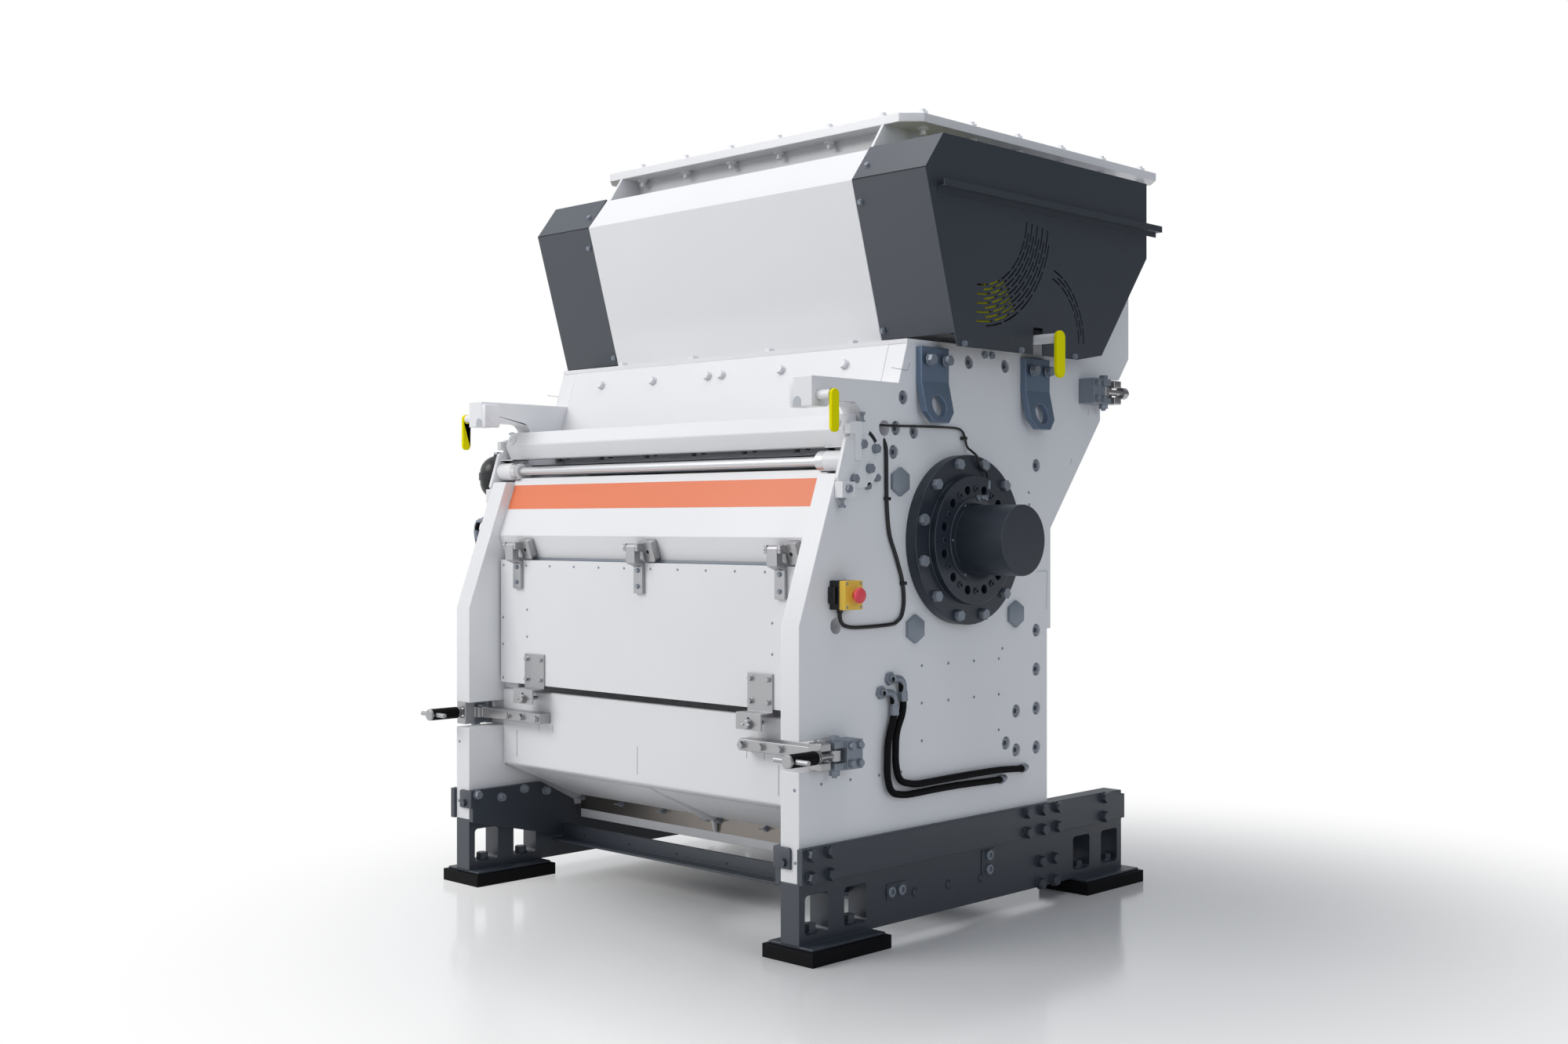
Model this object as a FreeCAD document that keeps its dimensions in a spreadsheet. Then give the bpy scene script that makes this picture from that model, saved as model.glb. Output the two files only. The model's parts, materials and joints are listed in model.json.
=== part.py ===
import FreeCAD, Part
import math
import os
import re
import Sketcher
from FreeCAD import Placement, Rotation, Vector

# Fine shredder: +X to the side of the visible shaft end, -Y the front, +Z up, millimetres.
# Sizes measure depth (Y) from the front edge of the rubber pads; every sub-part is then
# shifted so that the origin lies on the floor under the middle of the machine.

doc = FreeCAD.newDocument("fine_shredder")
sheet = doc.addObject("Spreadsheet::Sheet", "Sizes")
work = doc.addObject("App::FeaturePython", "Work")
work.addProperty("App::PropertyFloat", "Result")
aliases = []
nodes = []


def put_sizes(title, sizes):
    row = len(aliases) + 2 * len(put_sizes.titles) + 1
    put_sizes.titles.append(title)
    sheet.set("A%d" % row, title)
    for name, size in sizes.items():
        row += 1
        sheet.set("A%d" % row, name)
        sheet.set("B%d" % row, str(size))
        sheet.setAlias("B%d" % row, name)
        aliases.append(name)


put_sizes.titles = []


def sized(text):
    return re.sub(r"[a-z][a-z_0-9]*", lambda m: "Sizes." + m.group(0) if m.group(0) in aliases else m.group(0), text)


def bind(thing, prop, text):
    thing.setExpression(prop, sized(text))


def number(text):
    bind(work, "Result", text)
    work.recompute()
    return work.Result


side_plates = {
    "plate_outer": 780,
    "plate_thick": 70,
    "plate_front": 10,
    "plate_foot": 212,
    "plate_bend": 904,
    "front_lean": 0.3586,
    "deck_height": 1697,
    "shoulder_top": 458,
    "shoulder_lean": 0.32,
    "rear_low": 1136,
    "rear_step": 851,
    "rear_mid": 1155,
    "rear_knee": 1164,
    "rear_lean": 0.786,
    "rear_tip": 1726,
    "rear_top": 2100,
    "tower_front": 1250,
}
door_arms = {
    "arm_reach": 60,
    "arm_top": 1581,
    "arm_bottom": 1498,
    "arm_head": 62,
    "arm_relief": 16,
    "arm_root_radius": 38,
    "arm_pin_depth": 88,
    "arm_pin_height": 1529,
    "arm_pin_width": 26,
    "arm_pin_tail": 12,
    "arm_pin_out": 62,
}
base_frame = {
    "pad_outer": 840,
    "pad_width": 190,
    "pad_long": 320,
    "pad_rear": 1272,
    "pad_high": 38,
    "foot_high": 8,
    "foot_inset": 12,
    "web_end": 1553,
    "web_raise": 300,
    "window_front": 34,
    "window_wide": 92,
    "window_pitch": 157,
    "window_sill": 71,
    "window_high": 107,
    "window_round": 12,
    "rear_window_inset": 26,
    "rail_front": 1,
    "rail_top": 309,
    "rail_proud": 20,
    "rail_peak": 1405,
    "rail_end": 1542,
    "rail_drop": 18,
    "inner_thick": 20,
    "inner_foot": 120,
    "inner_peak": 292,
    "inner_elbow_depth": 430,
    "inner_elbow": 236,
    "inner_back": 452,
    "beam_front": 384,
    "beam_wall": 16,
    "beam_low": 107,
    "beam_high": 49,
    "beam_lip": 49,
    "beam_lip_thick": 7,
    "rear_beam_front": 1195,
}
rotor_and_bearings = {
    "rotor_depth": 700,
    "rotor_height": 1132,
    "rotor_radius": 300,
    "rotor_gap": 10,
    "shaft_radius": 104,
    "shaft_reach": 1012,
    "end_radius": 103,
    "end_start": 842,
    "shaft_fit": 0.1,
    "flange_radius": 250,
    "flange_thick": 38,
    "ring_radius": 190,
    "ring_thick": 22,
    "housing_radius": 200,
    "housing_fit": 0.3,
    "knife_wide": 62,
    "knife_proud": 9,
    "knife_tall": 34,
    "knife_pitch": 104,
    "knife_row": 12,
    "knife_twist": 24,
    "screen_gap": 15,
    "screen_thick": 12,
    "screen_cut": 40,
    "anvil_depth": 404,
    "anvil_long": 94,
    "anvil_foot": 1374,
    "anvil_high": 90,
}
front_door_sizes = {
    "panel_front": 131,
    "door_thick": 12,
    "nose_height": 1141,
    "door_top": 1331,
    "fold_back": 25,
    "fold_height": 1068,
    "lower_set": 14,
    "lower_top": 634,
    "lower_foot": 388,
    "lower_fold": 27,
    "lower_fold_drop": 15,
    "chute_end": 462,
    "chute_end_height": 252,
    "chute_thick": 10,
    "strip_thick": 6,
    "strip_top": 262,
    "strip_foot": 200,
    "sill_bar_high": 29,
    "sill_bar_deep": 20,
    "stile_wide": 66,
    "tube_depth": 200,
    "tube_height": 1354,
    "tube_radius": 14,
    "boss_radius": 29,
    "boss_inner": 685,
    "boss_gap": 1,
    "disc_depth": 247,
    "disc_radius": 76,
    "disc_thick": 12,
    "disc_tab_depth": 214,
    "disc_tab_long": 26,
    "disc_tab_top": 1462,
    "disc_tab_thick": 22,
    "stop_depth": 150,
    "stop_long": 55,
    "stop_foot": 1250,
    "stop_high": 45,
    "stop_thick": 30,
}
top_beam_sizes = {
    "top_beam_reach": 768,
    "top_beam_ridge": 198,
    "top_beam_edge": 221,
    "top_beam_back": 256,
    "top_beam_foot": 1393,
    "top_beam_middle": 1442,
    "top_beam_high": 92,
    "notch_gap": 6,
    "shoulder_thick": 15,
    "shoulder_foot": 1400,
}
flap_sizes = {
    "flap_half": 702,
    "flap_top": 1061,
    "flap_foot": 656,
    "flap_thick": 6,
    "hinge_depth": 100,
    "hinge_height": 1108,
    "hinge_pin": 6,
    "hinge_fit": 0.1,
    "hinge_spacing": 600,
    "strap_wide": 40,
    "strap_thick": 12,
    "strap_foot": 968,
    "barrel_radius": 12,
    "ear_thick": 12,
    "ear_gap": 1,
    "latch_offset": 516,
    "latch_wide": 100,
    "latch_thick": 6,
    "latch_top": 757,
    "latch_foot": 642,
    "latch_step": 46,
    "latch_lip": 42,
    "stud_radius": 6,
    "stud_head": 13,
    "stud_drop": 26,
    "stud_gap": 6,
}
clamp_sizes = {
    "clamp_height": 553,
    "clamp_across": 815,
    "clamp_pin_depth": 112,
    "clamp_pin_radius": 8,
    "clamp_pin_fit": 0.1,
    "clevis_high": 80,
    "clevis_ear": 20,
    "clevis_ear_half": 18,
    "clevis_gap": 24,
    "clevis_long": 64,
    "clevis_proud": 60,
    "eye_gap": 5,
    "eye_radius": 18,
    "bolt_radius": 10,
    "fork_front": 45,
    "fork_long": 40,
    "fork_end": 828,
    "fork_web": 793,
    "fork_slot": 30,
    "fork_high": 76,
    "bar_inner": 455,
    "bar_front": 100,
    "bar_high": 34,
    "bar_lap": 20,
    "bar_step": 4,
    "notch_high": 82,
    "notch_depth": 152,
    "sleeve_radius": 19,
    "sleeve_gap": 10,
    "sleeve_long": 105,
    "handle_radius": 7,
    "handle_half": 64,
    "handle_inset": 14,
    "rear_clamp_height": 1605,
    "rear_pin_depth": 1396,
    "rear_fork_front": 1440,
    "rear_notch_depth": 1431,
    "rear_notch_top": 1652,
    "rear_nut_long": 24,
    "rear_tip_long": 16,
}
hopper_sizes = {
    "hopper_half": 600,
    "hopper_wall": 10,
    "cover_thick": 8,
    "cover_foot": 1716,
    "cover_foot_depth": 555,
    "cover_fold": 421,
    "cover_fold_height": 2183,
    "cover_top": 501,
    "cover_top_height": 2284,
    "sill_thick": 13,
    "sill_back": 590,
    "flange_foot": 2367,
    "infeed_thick": 27,
    "infeed_half": 711,
    "infeed_front": 565,
    "infeed_back": 1927,
    "infeed_corner": 54,
    "infeed_wall": 640,
    "infeed_wall_back": 1780,
    "web_front": 564,
    "flare_foot": 2050,
    "flare_top": 2250,
    "tower_wall": 1582,
    "tower_wall_foot": 1900,
    "rear_wall_front": 1061,
    "rear_wall_thick": 40,
    "hatch_thick": 12,
    "hatch_one": 1265,
    "hatch_one_height": 1376,
    "hatch_two": 1372,
    "hatch_two_height": 1532,
    "hatch_end": 1450,
    "hatch_end_height": 1713,
}
guard_sizes = {
    "guard_outer": 877,
    "guard_sheet": 4,
    "guard_foot": 1689,
    "guard_foot_depth": 566,
    "guard_front_foot": 1726,
    "guard_back": 1553,
    "guard_top": 2290,
    "guard_rear_knee": 2046,
    "guard_rear_foot": 1294,
    "guard_rear_foot_height": 1711,
    "guard_foot_end": 1161,
    "slot_centre": 665,
    "slot_centre_height": 2110,
    "slot_first": 235,
    "slot_step": 13.3,
    "slot_wide": 5,
    "slot_sweep": 88,
    "rear_slot_sweep": 75,
    "rear_slot_centre": 971,
    "rear_slot_height": 1740,
    "rear_slot_first": 197,
    "drip_foot": 2120,
    "drip_front": 474,
    "drip_back": 1604,
    "drip_proud": 27,
    "drip_high": 34,
    "drip_thick": 3,
    "lock_depth": 955,
    "lock_height": 1736,
    "lock_radius": 15,
    "lock_fit": 0.1,
    "lock_out": 85,
    "lock_block_long": 64,
    "lock_block_over": 26,
    "lock_block_inset": 2,
    "lock_cut_half": 25,
    "lock_cut_over": 36,
    "lever_inner": 242,
    "lever_outer": 352,
    "lever_thick": 12,
    "lever_gap": 6,
    "lever_hub": 45,
    "lever_rim_front": 42,
    "lever_rim_back": 264,
    "lever_rim_foot": 422,
    "spoke_front": 49,
    "spoke_back": 120,
    "spoke_foot": 282,
    "spoke_back_foot": 260,
}
handle_sizes = {
    "grip_thick": 12,
    "grip_half": 22,
    "grip_drop": 98,
    "arm_grip_half": 15,
    "arm_grip_drop": 88,
}
lug_sizes = {
    "lug_front": 496,
    "lug_pitch": 500,
    "lug_wide": 125,
    "lug_thick": 22,
    "lug_top": 1690,
    "lug_bend": 1588,
    "lug_kick": 26,
    "lug_foot": 1470,
    "lug_corner": 32,
    "lug_hole": 31,
    "lug_hole_height": 1520,
}
fitting_sizes = {
    "stop_box_front": 130,
    "stop_box_wide": 72,
    "stop_box_foot": 945,
    "stop_box_high": 80,
    "stop_base_deep": 35,
    "stop_lid_deep": 23,
    "stop_stem": 8,
    "stop_stem_fit": 0.1,
    "stop_stem_in": 12,
    "stop_button_radius": 19,
    "stop_button_gap": 10,
    "stop_button_thick": 14,
    "lay_gap": 0.3,
    "cable_width": 11,
    "cable_drop": 23,
    "sensor_width": 7,
    "hose_width": 20,
    "hose_stand": 6,
    "hose_sink": 34,
    "tank_across": 865,
    "tank_depth": 240,
    "tank_radius": 60,
    "tank_foot": 1262,
    "tank_high": 150,
    "tank_cap": 13,
    "tank_cap_high": 14,
    "tank_band": 30,
    "tank_grip": 4,
    "oil_hose_width": 15,
}

groups = {
    "Side plates": side_plates,
    "Door arms on the side plates": door_arms,
    "Base frame": base_frame,
    "Rotor, bearings and screen": rotor_and_bearings,
    "Front door and lower panel": front_door_sizes,
    "Top beam of the door": top_beam_sizes,
    "Inspection flap": flap_sizes,
    "Clamps": clamp_sizes,
    "Hopper, cover and infeed flange": hopper_sizes,
    "Side guards": guard_sizes,
    "Handles of the lock pins": handle_sizes,
    "Lifting lugs": lug_sizes,
    "Emergency stop and piping": fitting_sizes,
}
for title, sizes in groups.items():
    put_sizes(title, sizes)
sheet.set("D1", "=(infeed_back + fork_front - sleeve_gap - sleeve_long) / 2")
sheet.setAlias("D1", "origin_depth")
aliases.append("origin_depth")
doc.recompute()

SIDES = {"right": 1, "left": -1}


def out(side, text):
    return "(%s)" % text if side > 0 else "(-(%s))" % text


def node(thing, label, shift=True):
    thing.Label = label
    if shift:
        bind(thing, "Placement.Base.y", "-origin_depth")
    nodes.append(thing)
    return thing


def sketch_on(body, plane, start, flip):
    sketch = body.newObject("Sketcher::SketchObject", "Sketch")
    sketch.AttachmentSupport = [(p, "") for p in body.Origin.OriginFeatures if p.Role == plane + "_Plane"]
    sketch.MapMode = "FlatFace"
    bind(sketch, "AttachmentOffset.Base.z", "-(%s)" % start if flip else start)
    return sketch


def fix_point(sketch, line, end, across, up):
    for kind, text in (("DistanceX", across), ("DistanceY", up)):
        index = sketch.addConstraint(Sketcher.Constraint(kind, -1, 1, line, end, number(text)))
        bind(sketch, "Constraints[%d]" % index, text)


def draw_polygon(sketch, outline):
    first = sketch.GeometryCount
    points = [Vector(number(across), number(up), 0) for across, up in outline]
    count = len(points)
    for i in range(count):
        sketch.addGeometry(Part.LineSegment(points[i], points[(i + 1) % count]), False)
    for i in range(count):
        sketch.addConstraint(Sketcher.Constraint("Coincident", first + i, 2, first + (i + 1) % count, 1))
        fix_point(sketch, first + i, 1, *outline[i])


def draw_circle(sketch, across, up, radius):
    centre = Vector(number(across), number(up), 0)
    ring = sketch.addGeometry(Part.Circle(centre, Vector(0, 0, 1), number(radius)), False)
    fix_point(sketch, ring, 3, across, up)
    index = sketch.addConstraint(Sketcher.Constraint("Radius", ring, number(radius)))
    bind(sketch, "Constraints[%d]" % index, radius)


# A body padded from an outline: across YZ it runs along X from start, across XZ along Y,
# across XY along Z. Holes are circles (across, up, radius), windows are outlines.
def prism(name, plane, outline, start, depth, holes=(), windows=()):
    body = doc.addObject("PartDesign::Body", name)
    flip = plane == "XZ"
    sketch = sketch_on(body, plane, "(%s) + (%s)" % (start, depth) if flip else start, flip)
    if outline:
        draw_polygon(sketch, outline)
    for hole in holes:
        draw_circle(sketch, *hole)
    for window in windows:
        draw_polygon(sketch, window)
    pad = body.newObject("PartDesign::Pad", "Pad")
    pad.Profile = sketch
    bind(pad, "Length", depth)
    doc.recompute()
    return body


def side_prism(side, name, outline, inner, depth, holes=(), windows=()):
    start = inner if side > 0 else "-((%s) + (%s))" % (inner, depth)
    return prism(name, "YZ", outline, start, depth, holes, windows)


# Rounds the edges of a body that run along the given axis through the given corners.
def round_edges(body, axis, corners, radius):
    spots = [tuple(number(text) for text in corner) for corner in corners]
    names = []
    for index, edge in enumerate(body.Shape.Edges, 1):
        a, b = [v.Point for v in edge.Vertexes] if len(edge.Vertexes) == 2 else (None, None)
        if a is None:
            continue
        flat = [(p.y, p.z) if axis == "X" else (p.x, p.z) if axis == "Y" else (p.x, p.y) for p in (a, b)]
        if any(all(math.dist(p, spot) < 0.01 for p in flat) for spot in spots):
            names.append("Edge%d" % index)
    base = body.Tip
    fillet = body.newObject("PartDesign::Fillet", "Round")
    fillet.Base = (base, names)
    bind(fillet, "Radius", radius)
    doc.recompute()
    return body


def box(name, x, y, z, long, wide, high):
    solid = doc.addObject("Part::Box", name)
    for prop, text in (("Length", long), ("Width", wide), ("Height", high)):
        bind(solid, prop, text)
    for axis, text in (("x", x), ("y", y), ("z", z)):
        bind(solid, "Placement.Base." + axis, text)
    return solid


def side_box(side, name, x, y, z, long, wide, high):
    return box(name, x if side > 0 else "-((%s) + (%s))" % (x, long), y, z, long, wide, high)


TURNS = {"X": Rotation(Vector(0, 1, 0), 90), "Y": Rotation(Vector(1, 0, 0), -90), "Z": Rotation()}


def rod(name, axis, x, y, z, radius, length):
    solid = doc.addObject("Part::Cylinder", name)
    bind(solid, "Radius", radius)
    bind(solid, "Height", length)
    solid.Placement = Placement(Vector(), TURNS[axis])
    for key, text in (("x", x), ("y", y), ("z", z)):
        bind(solid, "Placement.Base." + key, text)
    return solid


def side_rod(side, name, x, y, z, radius, length):
    return rod(name, "X", x if side > 0 else "-((%s) + (%s))" % (x, length), y, z, radius, length)


def fuse(name, pieces):
    joined = doc.addObject("Part::MultiFuse", name)
    joined.Shapes = pieces
    joined.Refine = True
    return joined


def group(name, pieces):
    together = doc.addObject("Part::Compound", name)
    together.Links = pieces
    return together


def cut(name, base, tool):
    result = doc.addObject("Part::Cut", name)
    result.Base = base
    result.Tool = tool
    result.Refine = True
    return result


plate_inner = "plate_outer - plate_thick"

# Rubber pads under the four feet
pads = []
for side in SIDES.values():
    for start in ("0", "pad_rear"):
        pads.append(side_box(side, "Pad", "pad_outer - pad_width", start, "0", "pad_width", "pad_long", "pad_high"))
node(group("foot_pads", pads), "foot_pads")


# Base frame: webs with windows and foot plates, rails bolted outside, plates inside
def window(start):
    top = "window_sill + window_high"
    end = "(%s) + window_wide" % start
    return [(start, "window_sill"), (end, "window_sill"), (end, top), (start, top)]


web_foot = "pad_high + foot_high"
rear_window = "web_end - rear_window_inset - window_wide"
rails = []
inners = []
window_starts = ["window_front", "window_front + window_pitch", rear_window + " - window_pitch", rear_window]
for word, side in SIDES.items():
    outline = [("plate_front", web_foot), ("web_end", web_foot), ("web_end", "web_raise"),
               ("rear_low", "web_raise"), ("rear_low", "plate_foot"), ("plate_front", "plate_foot")]
    windows = [window(start) for start in window_starts]
    web = side_prism(side, "Web", outline, plate_inner, "plate_thick", (), windows)
    round_edges(web, "X", [corner for opening in windows for corner in opening], "window_round")
    feet = []
    for start in ("foot_inset", "pad_rear + foot_inset"):
        feet.append(side_box(side, "Foot", "pad_outer - pad_width + foot_inset", start, "pad_high",
                             "pad_width - 2 * foot_inset", "pad_long - 2 * foot_inset", "foot_high"))
    node(fuse("base_side_" + word, [web] + feet), "base_side_" + word)

    outline = [("rail_front", "plate_foot"), ("rail_end", "plate_foot"), ("rail_end", "rail_top - rail_drop"),
               ("rail_peak", "rail_top"), ("rail_front", "rail_top")]
    rails.append(side_prism(side, "Rail", outline, "plate_outer", "rail_proud"))

    outline = [("plate_front", "plate_foot - 7"), ("plate_front", "rail_top"), ("inner_peak", "rail_top"),
               ("inner_elbow_depth", "inner_elbow"), ("inner_back", "plate_foot - 43"),
               ("inner_back", "inner_foot"), ("inner_elbow_depth - 60", "inner_foot")]
    inners.append(side_prism(side, "InnerPlate", outline, plate_inner + " - inner_thick", "inner_thick"))
node(group("base_rails", rails), "base_rails")
node(group("inner_plates", inners), "inner_plates")


# Cross beams with a lip, between the inner plates at the front and the webs at the rear
def cross_beam(front, half, lip_side):
    lip_start = "%s - beam_lip" % front if lip_side < 0 else "%s + beam_wall" % front
    wall = box("Wall", "-(%s)" % half, front, "beam_low", "2 * (%s)" % half, "beam_wall", "beam_high")
    lip = box("Lip", "-(%s)" % half, lip_start, "beam_low", "2 * (%s)" % half, "beam_lip", "beam_lip_thick")
    return fuse("Beam", [wall, lip])


node(group("cross_beams", [cross_beam("beam_front", plate_inner + " - inner_thick", -1),
                           cross_beam("rear_beam_front", plate_inner, 1)]), "cross_beams")

# Side plates with the door arms, the clamp notches and the bearing bore
notch_foot = "clamp_height - notch_high / 2"
notch_top = "clamp_height + notch_high / 2"
seat_depth = "plate_front + front_lean * (top_beam_foot - plate_bend)"
arm_under = "arm_bottom + arm_relief"
plate_outline = [
    ("plate_front", "plate_foot"),
    ("plate_front", notch_foot),
    ("notch_depth", notch_foot),
    ("notch_depth", notch_top),
    ("plate_front", notch_top),
    ("plate_front", "plate_bend"),
    (seat_depth, "top_beam_foot"),
    ("top_beam_back + notch_gap", "top_beam_foot"),
    ("top_beam_back + notch_gap", arm_under),
    ("arm_reach + arm_head + arm_relief", arm_under),
    ("arm_reach + arm_head", "arm_bottom"),
    ("arm_reach", "arm_bottom"),
    ("arm_reach", "arm_top"),
    ("shoulder_top - shoulder_lean * (deck_height - arm_top)", "arm_top"),
    ("shoulder_top", "deck_height"),
    ("tower_front", "deck_height"),
    ("tower_front", "rear_top"),
    ("rear_mid + rear_lean * (rear_tip - rear_knee)", "rear_top"),
    ("rear_mid + rear_lean * (rear_tip - rear_knee)", "rear_tip"),
    ("rear_mid + rear_lean * (rear_notch_top - rear_knee)", "rear_notch_top"),
    ("rear_notch_depth", "rear_notch_top"),
    ("rear_notch_depth", "rear_knee + (rear_notch_depth - rear_mid) / rear_lean"),
    ("rear_mid", "rear_knee"),
    ("rear_mid", "rear_step"),
    ("rear_low", "rear_step"),
    ("rear_low", "plate_foot"),
]
for word, side in SIDES.items():
    holes = [("rotor_depth", "rotor_height", "housing_radius"),
             ("arm_pin_depth", "arm_pin_height", "arm_pin_width / 2 + hinge_fit"),
             ("disc_depth", "tube_height", "boss_radius")]
    plate = side_prism(side, "side_plate_" + word, plate_outline, plate_inner, "plate_thick", holes)
    round_edges(plate, "X", [("top_beam_back + notch_gap", arm_under)], "arm_root_radius")
    node(plate, "side_plate_" + word)

# Bearing flanges with a raised ring and a spigot in the side plate
for word, side in SIDES.items():
    centre = ("rotor_depth", "rotor_height")
    disc = side_rod(side, "Disc", "plate_outer", *centre, "flange_radius", "flange_thick")
    ring = side_rod(side, "Ring", "plate_outer", *centre, "ring_radius", "flange_thick + ring_thick")
    spigot = side_rod(side, "Spigot", plate_inner, *centre, "housing_radius - housing_fit", "plate_thick")
    bore = side_rod(side, "Bore", plate_inner + " - 1", *centre, "shaft_radius + shaft_fit",
                    "plate_thick + flange_thick + ring_thick + 2")
    name = "bearing_flange_" + word
    node(cut(name, fuse("Flange", [disc, ring, spigot]), bore), name)

# Rotor: drum with square knives and a shaft that runs out through both flanges
drum_half = plate_inner + " - rotor_gap"
drum = rod("Drum", "X", "-(%s)" % drum_half, "rotor_depth", "rotor_height", "rotor_radius - knife_proud",
           "2 * (%s)" % drum_half)
shaft = rod("Shaft", "X", "-end_start", "rotor_depth", "rotor_height", "shaft_radius", "2 * end_start")
ends = rod("ShaftEnds", "X", "-shaft_reach", "rotor_depth", "rotor_height", "end_radius", "2 * shaft_reach")
knives = []
for row in range(4):
    for place in range(int(number("knife_row"))):
        offset = "(%d - (knife_row - 1) / 2) * knife_pitch - knife_wide / 2 + %d * knife_pitch / 4" % (place, row - 1.5)
        knife = box("Knife", offset, "0", "0", "knife_wide", "knife_tall", "knife_tall")
        lean = 90 * row + number("knife_twist") * abs(place - (number("knife_row") - 1) / 2) / 2
        spin = Rotation(Vector(1, 0, 0), lean)
        arm = spin.multVec(Vector(0, 1, 0))
        up = spin.multVec(Vector(0, 0, 1))
        knife.Placement = Placement(knife.Placement.Base, spin)
        reach = "(rotor_radius - knife_tall)"
        bind(knife, "Placement.Base.y", "rotor_depth + %.6f * %s - %.6f * knife_tall / 2" % (arm.y, reach, up.y))
        bind(knife, "Placement.Base.z", "rotor_height + %.6f * %s - %.6f * knife_tall / 2" % (arm.z, reach, up.z))
        knives.append(knife)
node(fuse("rotor", [drum, shaft, ends] + knives), "rotor")

# Screen under the rotor and the anvil beam in front of it
screen_inner = "(rotor_radius + screen_gap)"
span = "2 * (%s)" % plate_inner
outer = rod("ScreenOuter", "X", "-(%s)" % plate_inner, "rotor_depth", "rotor_height",
            screen_inner + " + screen_thick", span)
inner = rod("ScreenInner", "X", "-(%s)" % plate_inner, "rotor_depth", "rotor_height", screen_inner, span)
shell = cut("ScreenShell", outer, inner)
above = box("ScreenCut", "-(%s)" % plate_inner, "rotor_depth - 2 * rotor_radius", "rotor_height + screen_cut",
            span, "4 * rotor_radius", "2 * rotor_radius")
node(cut("screen", shell, above), "screen")
node(group("anvil_beam", [box("Anvil", "-(%s)" % plate_inner, "anvil_depth", "anvil_foot", span,
                              "anvil_long", "anvil_high")]), "anvil_beam")


def across(name, outline, half=plate_inner):
    return node(prism(name, "YZ", outline, "-(%s)" % half, "2 * (%s)" % half), name)


# Door panel with a nose, hung on the bright tube; it carries the stripe
nose_back = "panel_front + door_thick"
door_run = "front_lean * (door_top - nose_height)"
door = prism("Door", "YZ", [
    ("panel_front", "nose_height"),
    ("panel_front + " + door_run, "door_top"),
    (nose_back + " + " + door_run, "door_top"),
    (nose_back, "nose_height"),
    (nose_back + " + fold_back", "fold_height"),
    ("panel_front + fold_back", "fold_height"),
], "-(%s)" % plate_inner, "2 * (%s)" % plate_inner)
lower_front = "panel_front + lower_set"
lower_back = lower_front + " + door_thick"
stiles = []
for word, side in SIDES.items():
    stiles.append(side_box(side, "Stile", plate_inner + " - stile_wide", lower_back, "lower_top", "stile_wide",
                           "door_thick", "fold_height - lower_top"))
boss_room = [side_rod(side, "BossRoom", "boss_inner - boss_gap", "tube_depth", "tube_height",
                      "boss_radius + boss_gap", plate_inner + " - boss_inner + 2 * boss_gap")
             for side in SIDES.values()]
node(cut("front_door", fuse("DoorBody", [door] + stiles), group("BossRooms", boss_room)), "front_door")
across("lower_panel", [
    (lower_front, "lower_foot"),
    (lower_front, "lower_top"),
    (lower_back + " + door_thick", "lower_top"),
    (lower_back + " + door_thick", "lower_top - door_thick"),
    (lower_back, "lower_top - door_thick"),
    (lower_back, "lower_foot"),
    (lower_back + " + lower_fold", "lower_foot - lower_fold_drop"),
    (lower_front + " + lower_fold", "lower_foot - lower_fold_drop"),
])
chute_start = lower_front + " + lower_fold"
chute_top = "lower_foot - lower_fold_drop"
across("discharge_chute", [
    (chute_start, chute_top),
    (chute_start + " + chute_thick", chute_top),
    ("chute_end", "chute_end_height + chute_thick"),
    ("chute_end", "chute_end_height"),
    ("chute_end - 2 * chute_thick", "chute_end_height"),
], plate_inner + " - inner_thick")
node(group("sealing_strip", [box("Strip", "-(%s - inner_thick)" % plate_inner, "chute_end", "strip_foot",
                                 "2 * (%s - inner_thick)" % plate_inner, "strip_thick",
                                 "strip_top - strip_foot")]), "sealing_strip")
node(group("chute_bar", [box("Bar", "-(%s - inner_thick)" % plate_inner, "chute_end", "strip_foot - sill_bar_high",
                             "2 * (%s - inner_thick)" % plate_inner, "sill_bar_deep",
                             "sill_bar_high")]), "chute_bar")

# Bright tube between two bosses, with the eccentric discs outside the side plates
tube_pieces = [rod("Tube", "X", "-boss_inner", "tube_depth", "tube_height", "tube_radius", "2 * boss_inner")]
for word, side in SIDES.items():
    tube_pieces.append(side_rod(side, "Boss", "boss_inner", "tube_depth", "tube_height", "boss_radius",
                                plate_inner + " - boss_inner"))
    disc = side_rod(side, "Disc", "plate_outer", "disc_depth", "tube_height", "disc_radius", "disc_thick")
    hub = side_rod(side, "Hub", plate_inner, "disc_depth", "tube_height", "boss_radius - housing_fit",
                   "plate_thick")
    tab = side_box(side, "Tab", "plate_outer", "disc_tab_depth", "tube_height", "disc_tab_thick",
                   "disc_tab_long", "disc_tab_top - tube_height")
    stop = side_box(side, "Stop", "plate_outer", "stop_depth", "stop_foot", "stop_thick", "stop_long", "stop_high")
    name = "pivot_disc_" + word
    node(fuse(name, [disc, hub, tab, stop]), name)
node(fuse("pivot_tube", tube_pieces), "pivot_tube")

# Ridged beam over the tube and the leaning shoulder panel behind the arms
across("top_beam", [
    ("top_beam_ridge", "top_beam_middle"),
    ("top_beam_edge", "top_beam_foot + top_beam_high"),
    ("top_beam_back", "top_beam_foot + top_beam_high"),
    ("top_beam_back", "top_beam_foot"),
    ("top_beam_edge", "top_beam_foot"),
], "top_beam_reach")


def shoulder(height):
    return "shoulder_top - shoulder_lean * (deck_height - (%s))" % height


across("shoulder_panel", [
    ("shoulder_top", "deck_height"),
    ("shoulder_top + shoulder_thick", "deck_height"),
    (shoulder("shoulder_foot") + " + shoulder_thick", "shoulder_foot"),
    (shoulder("shoulder_foot"), "shoulder_foot"),
])

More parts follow.
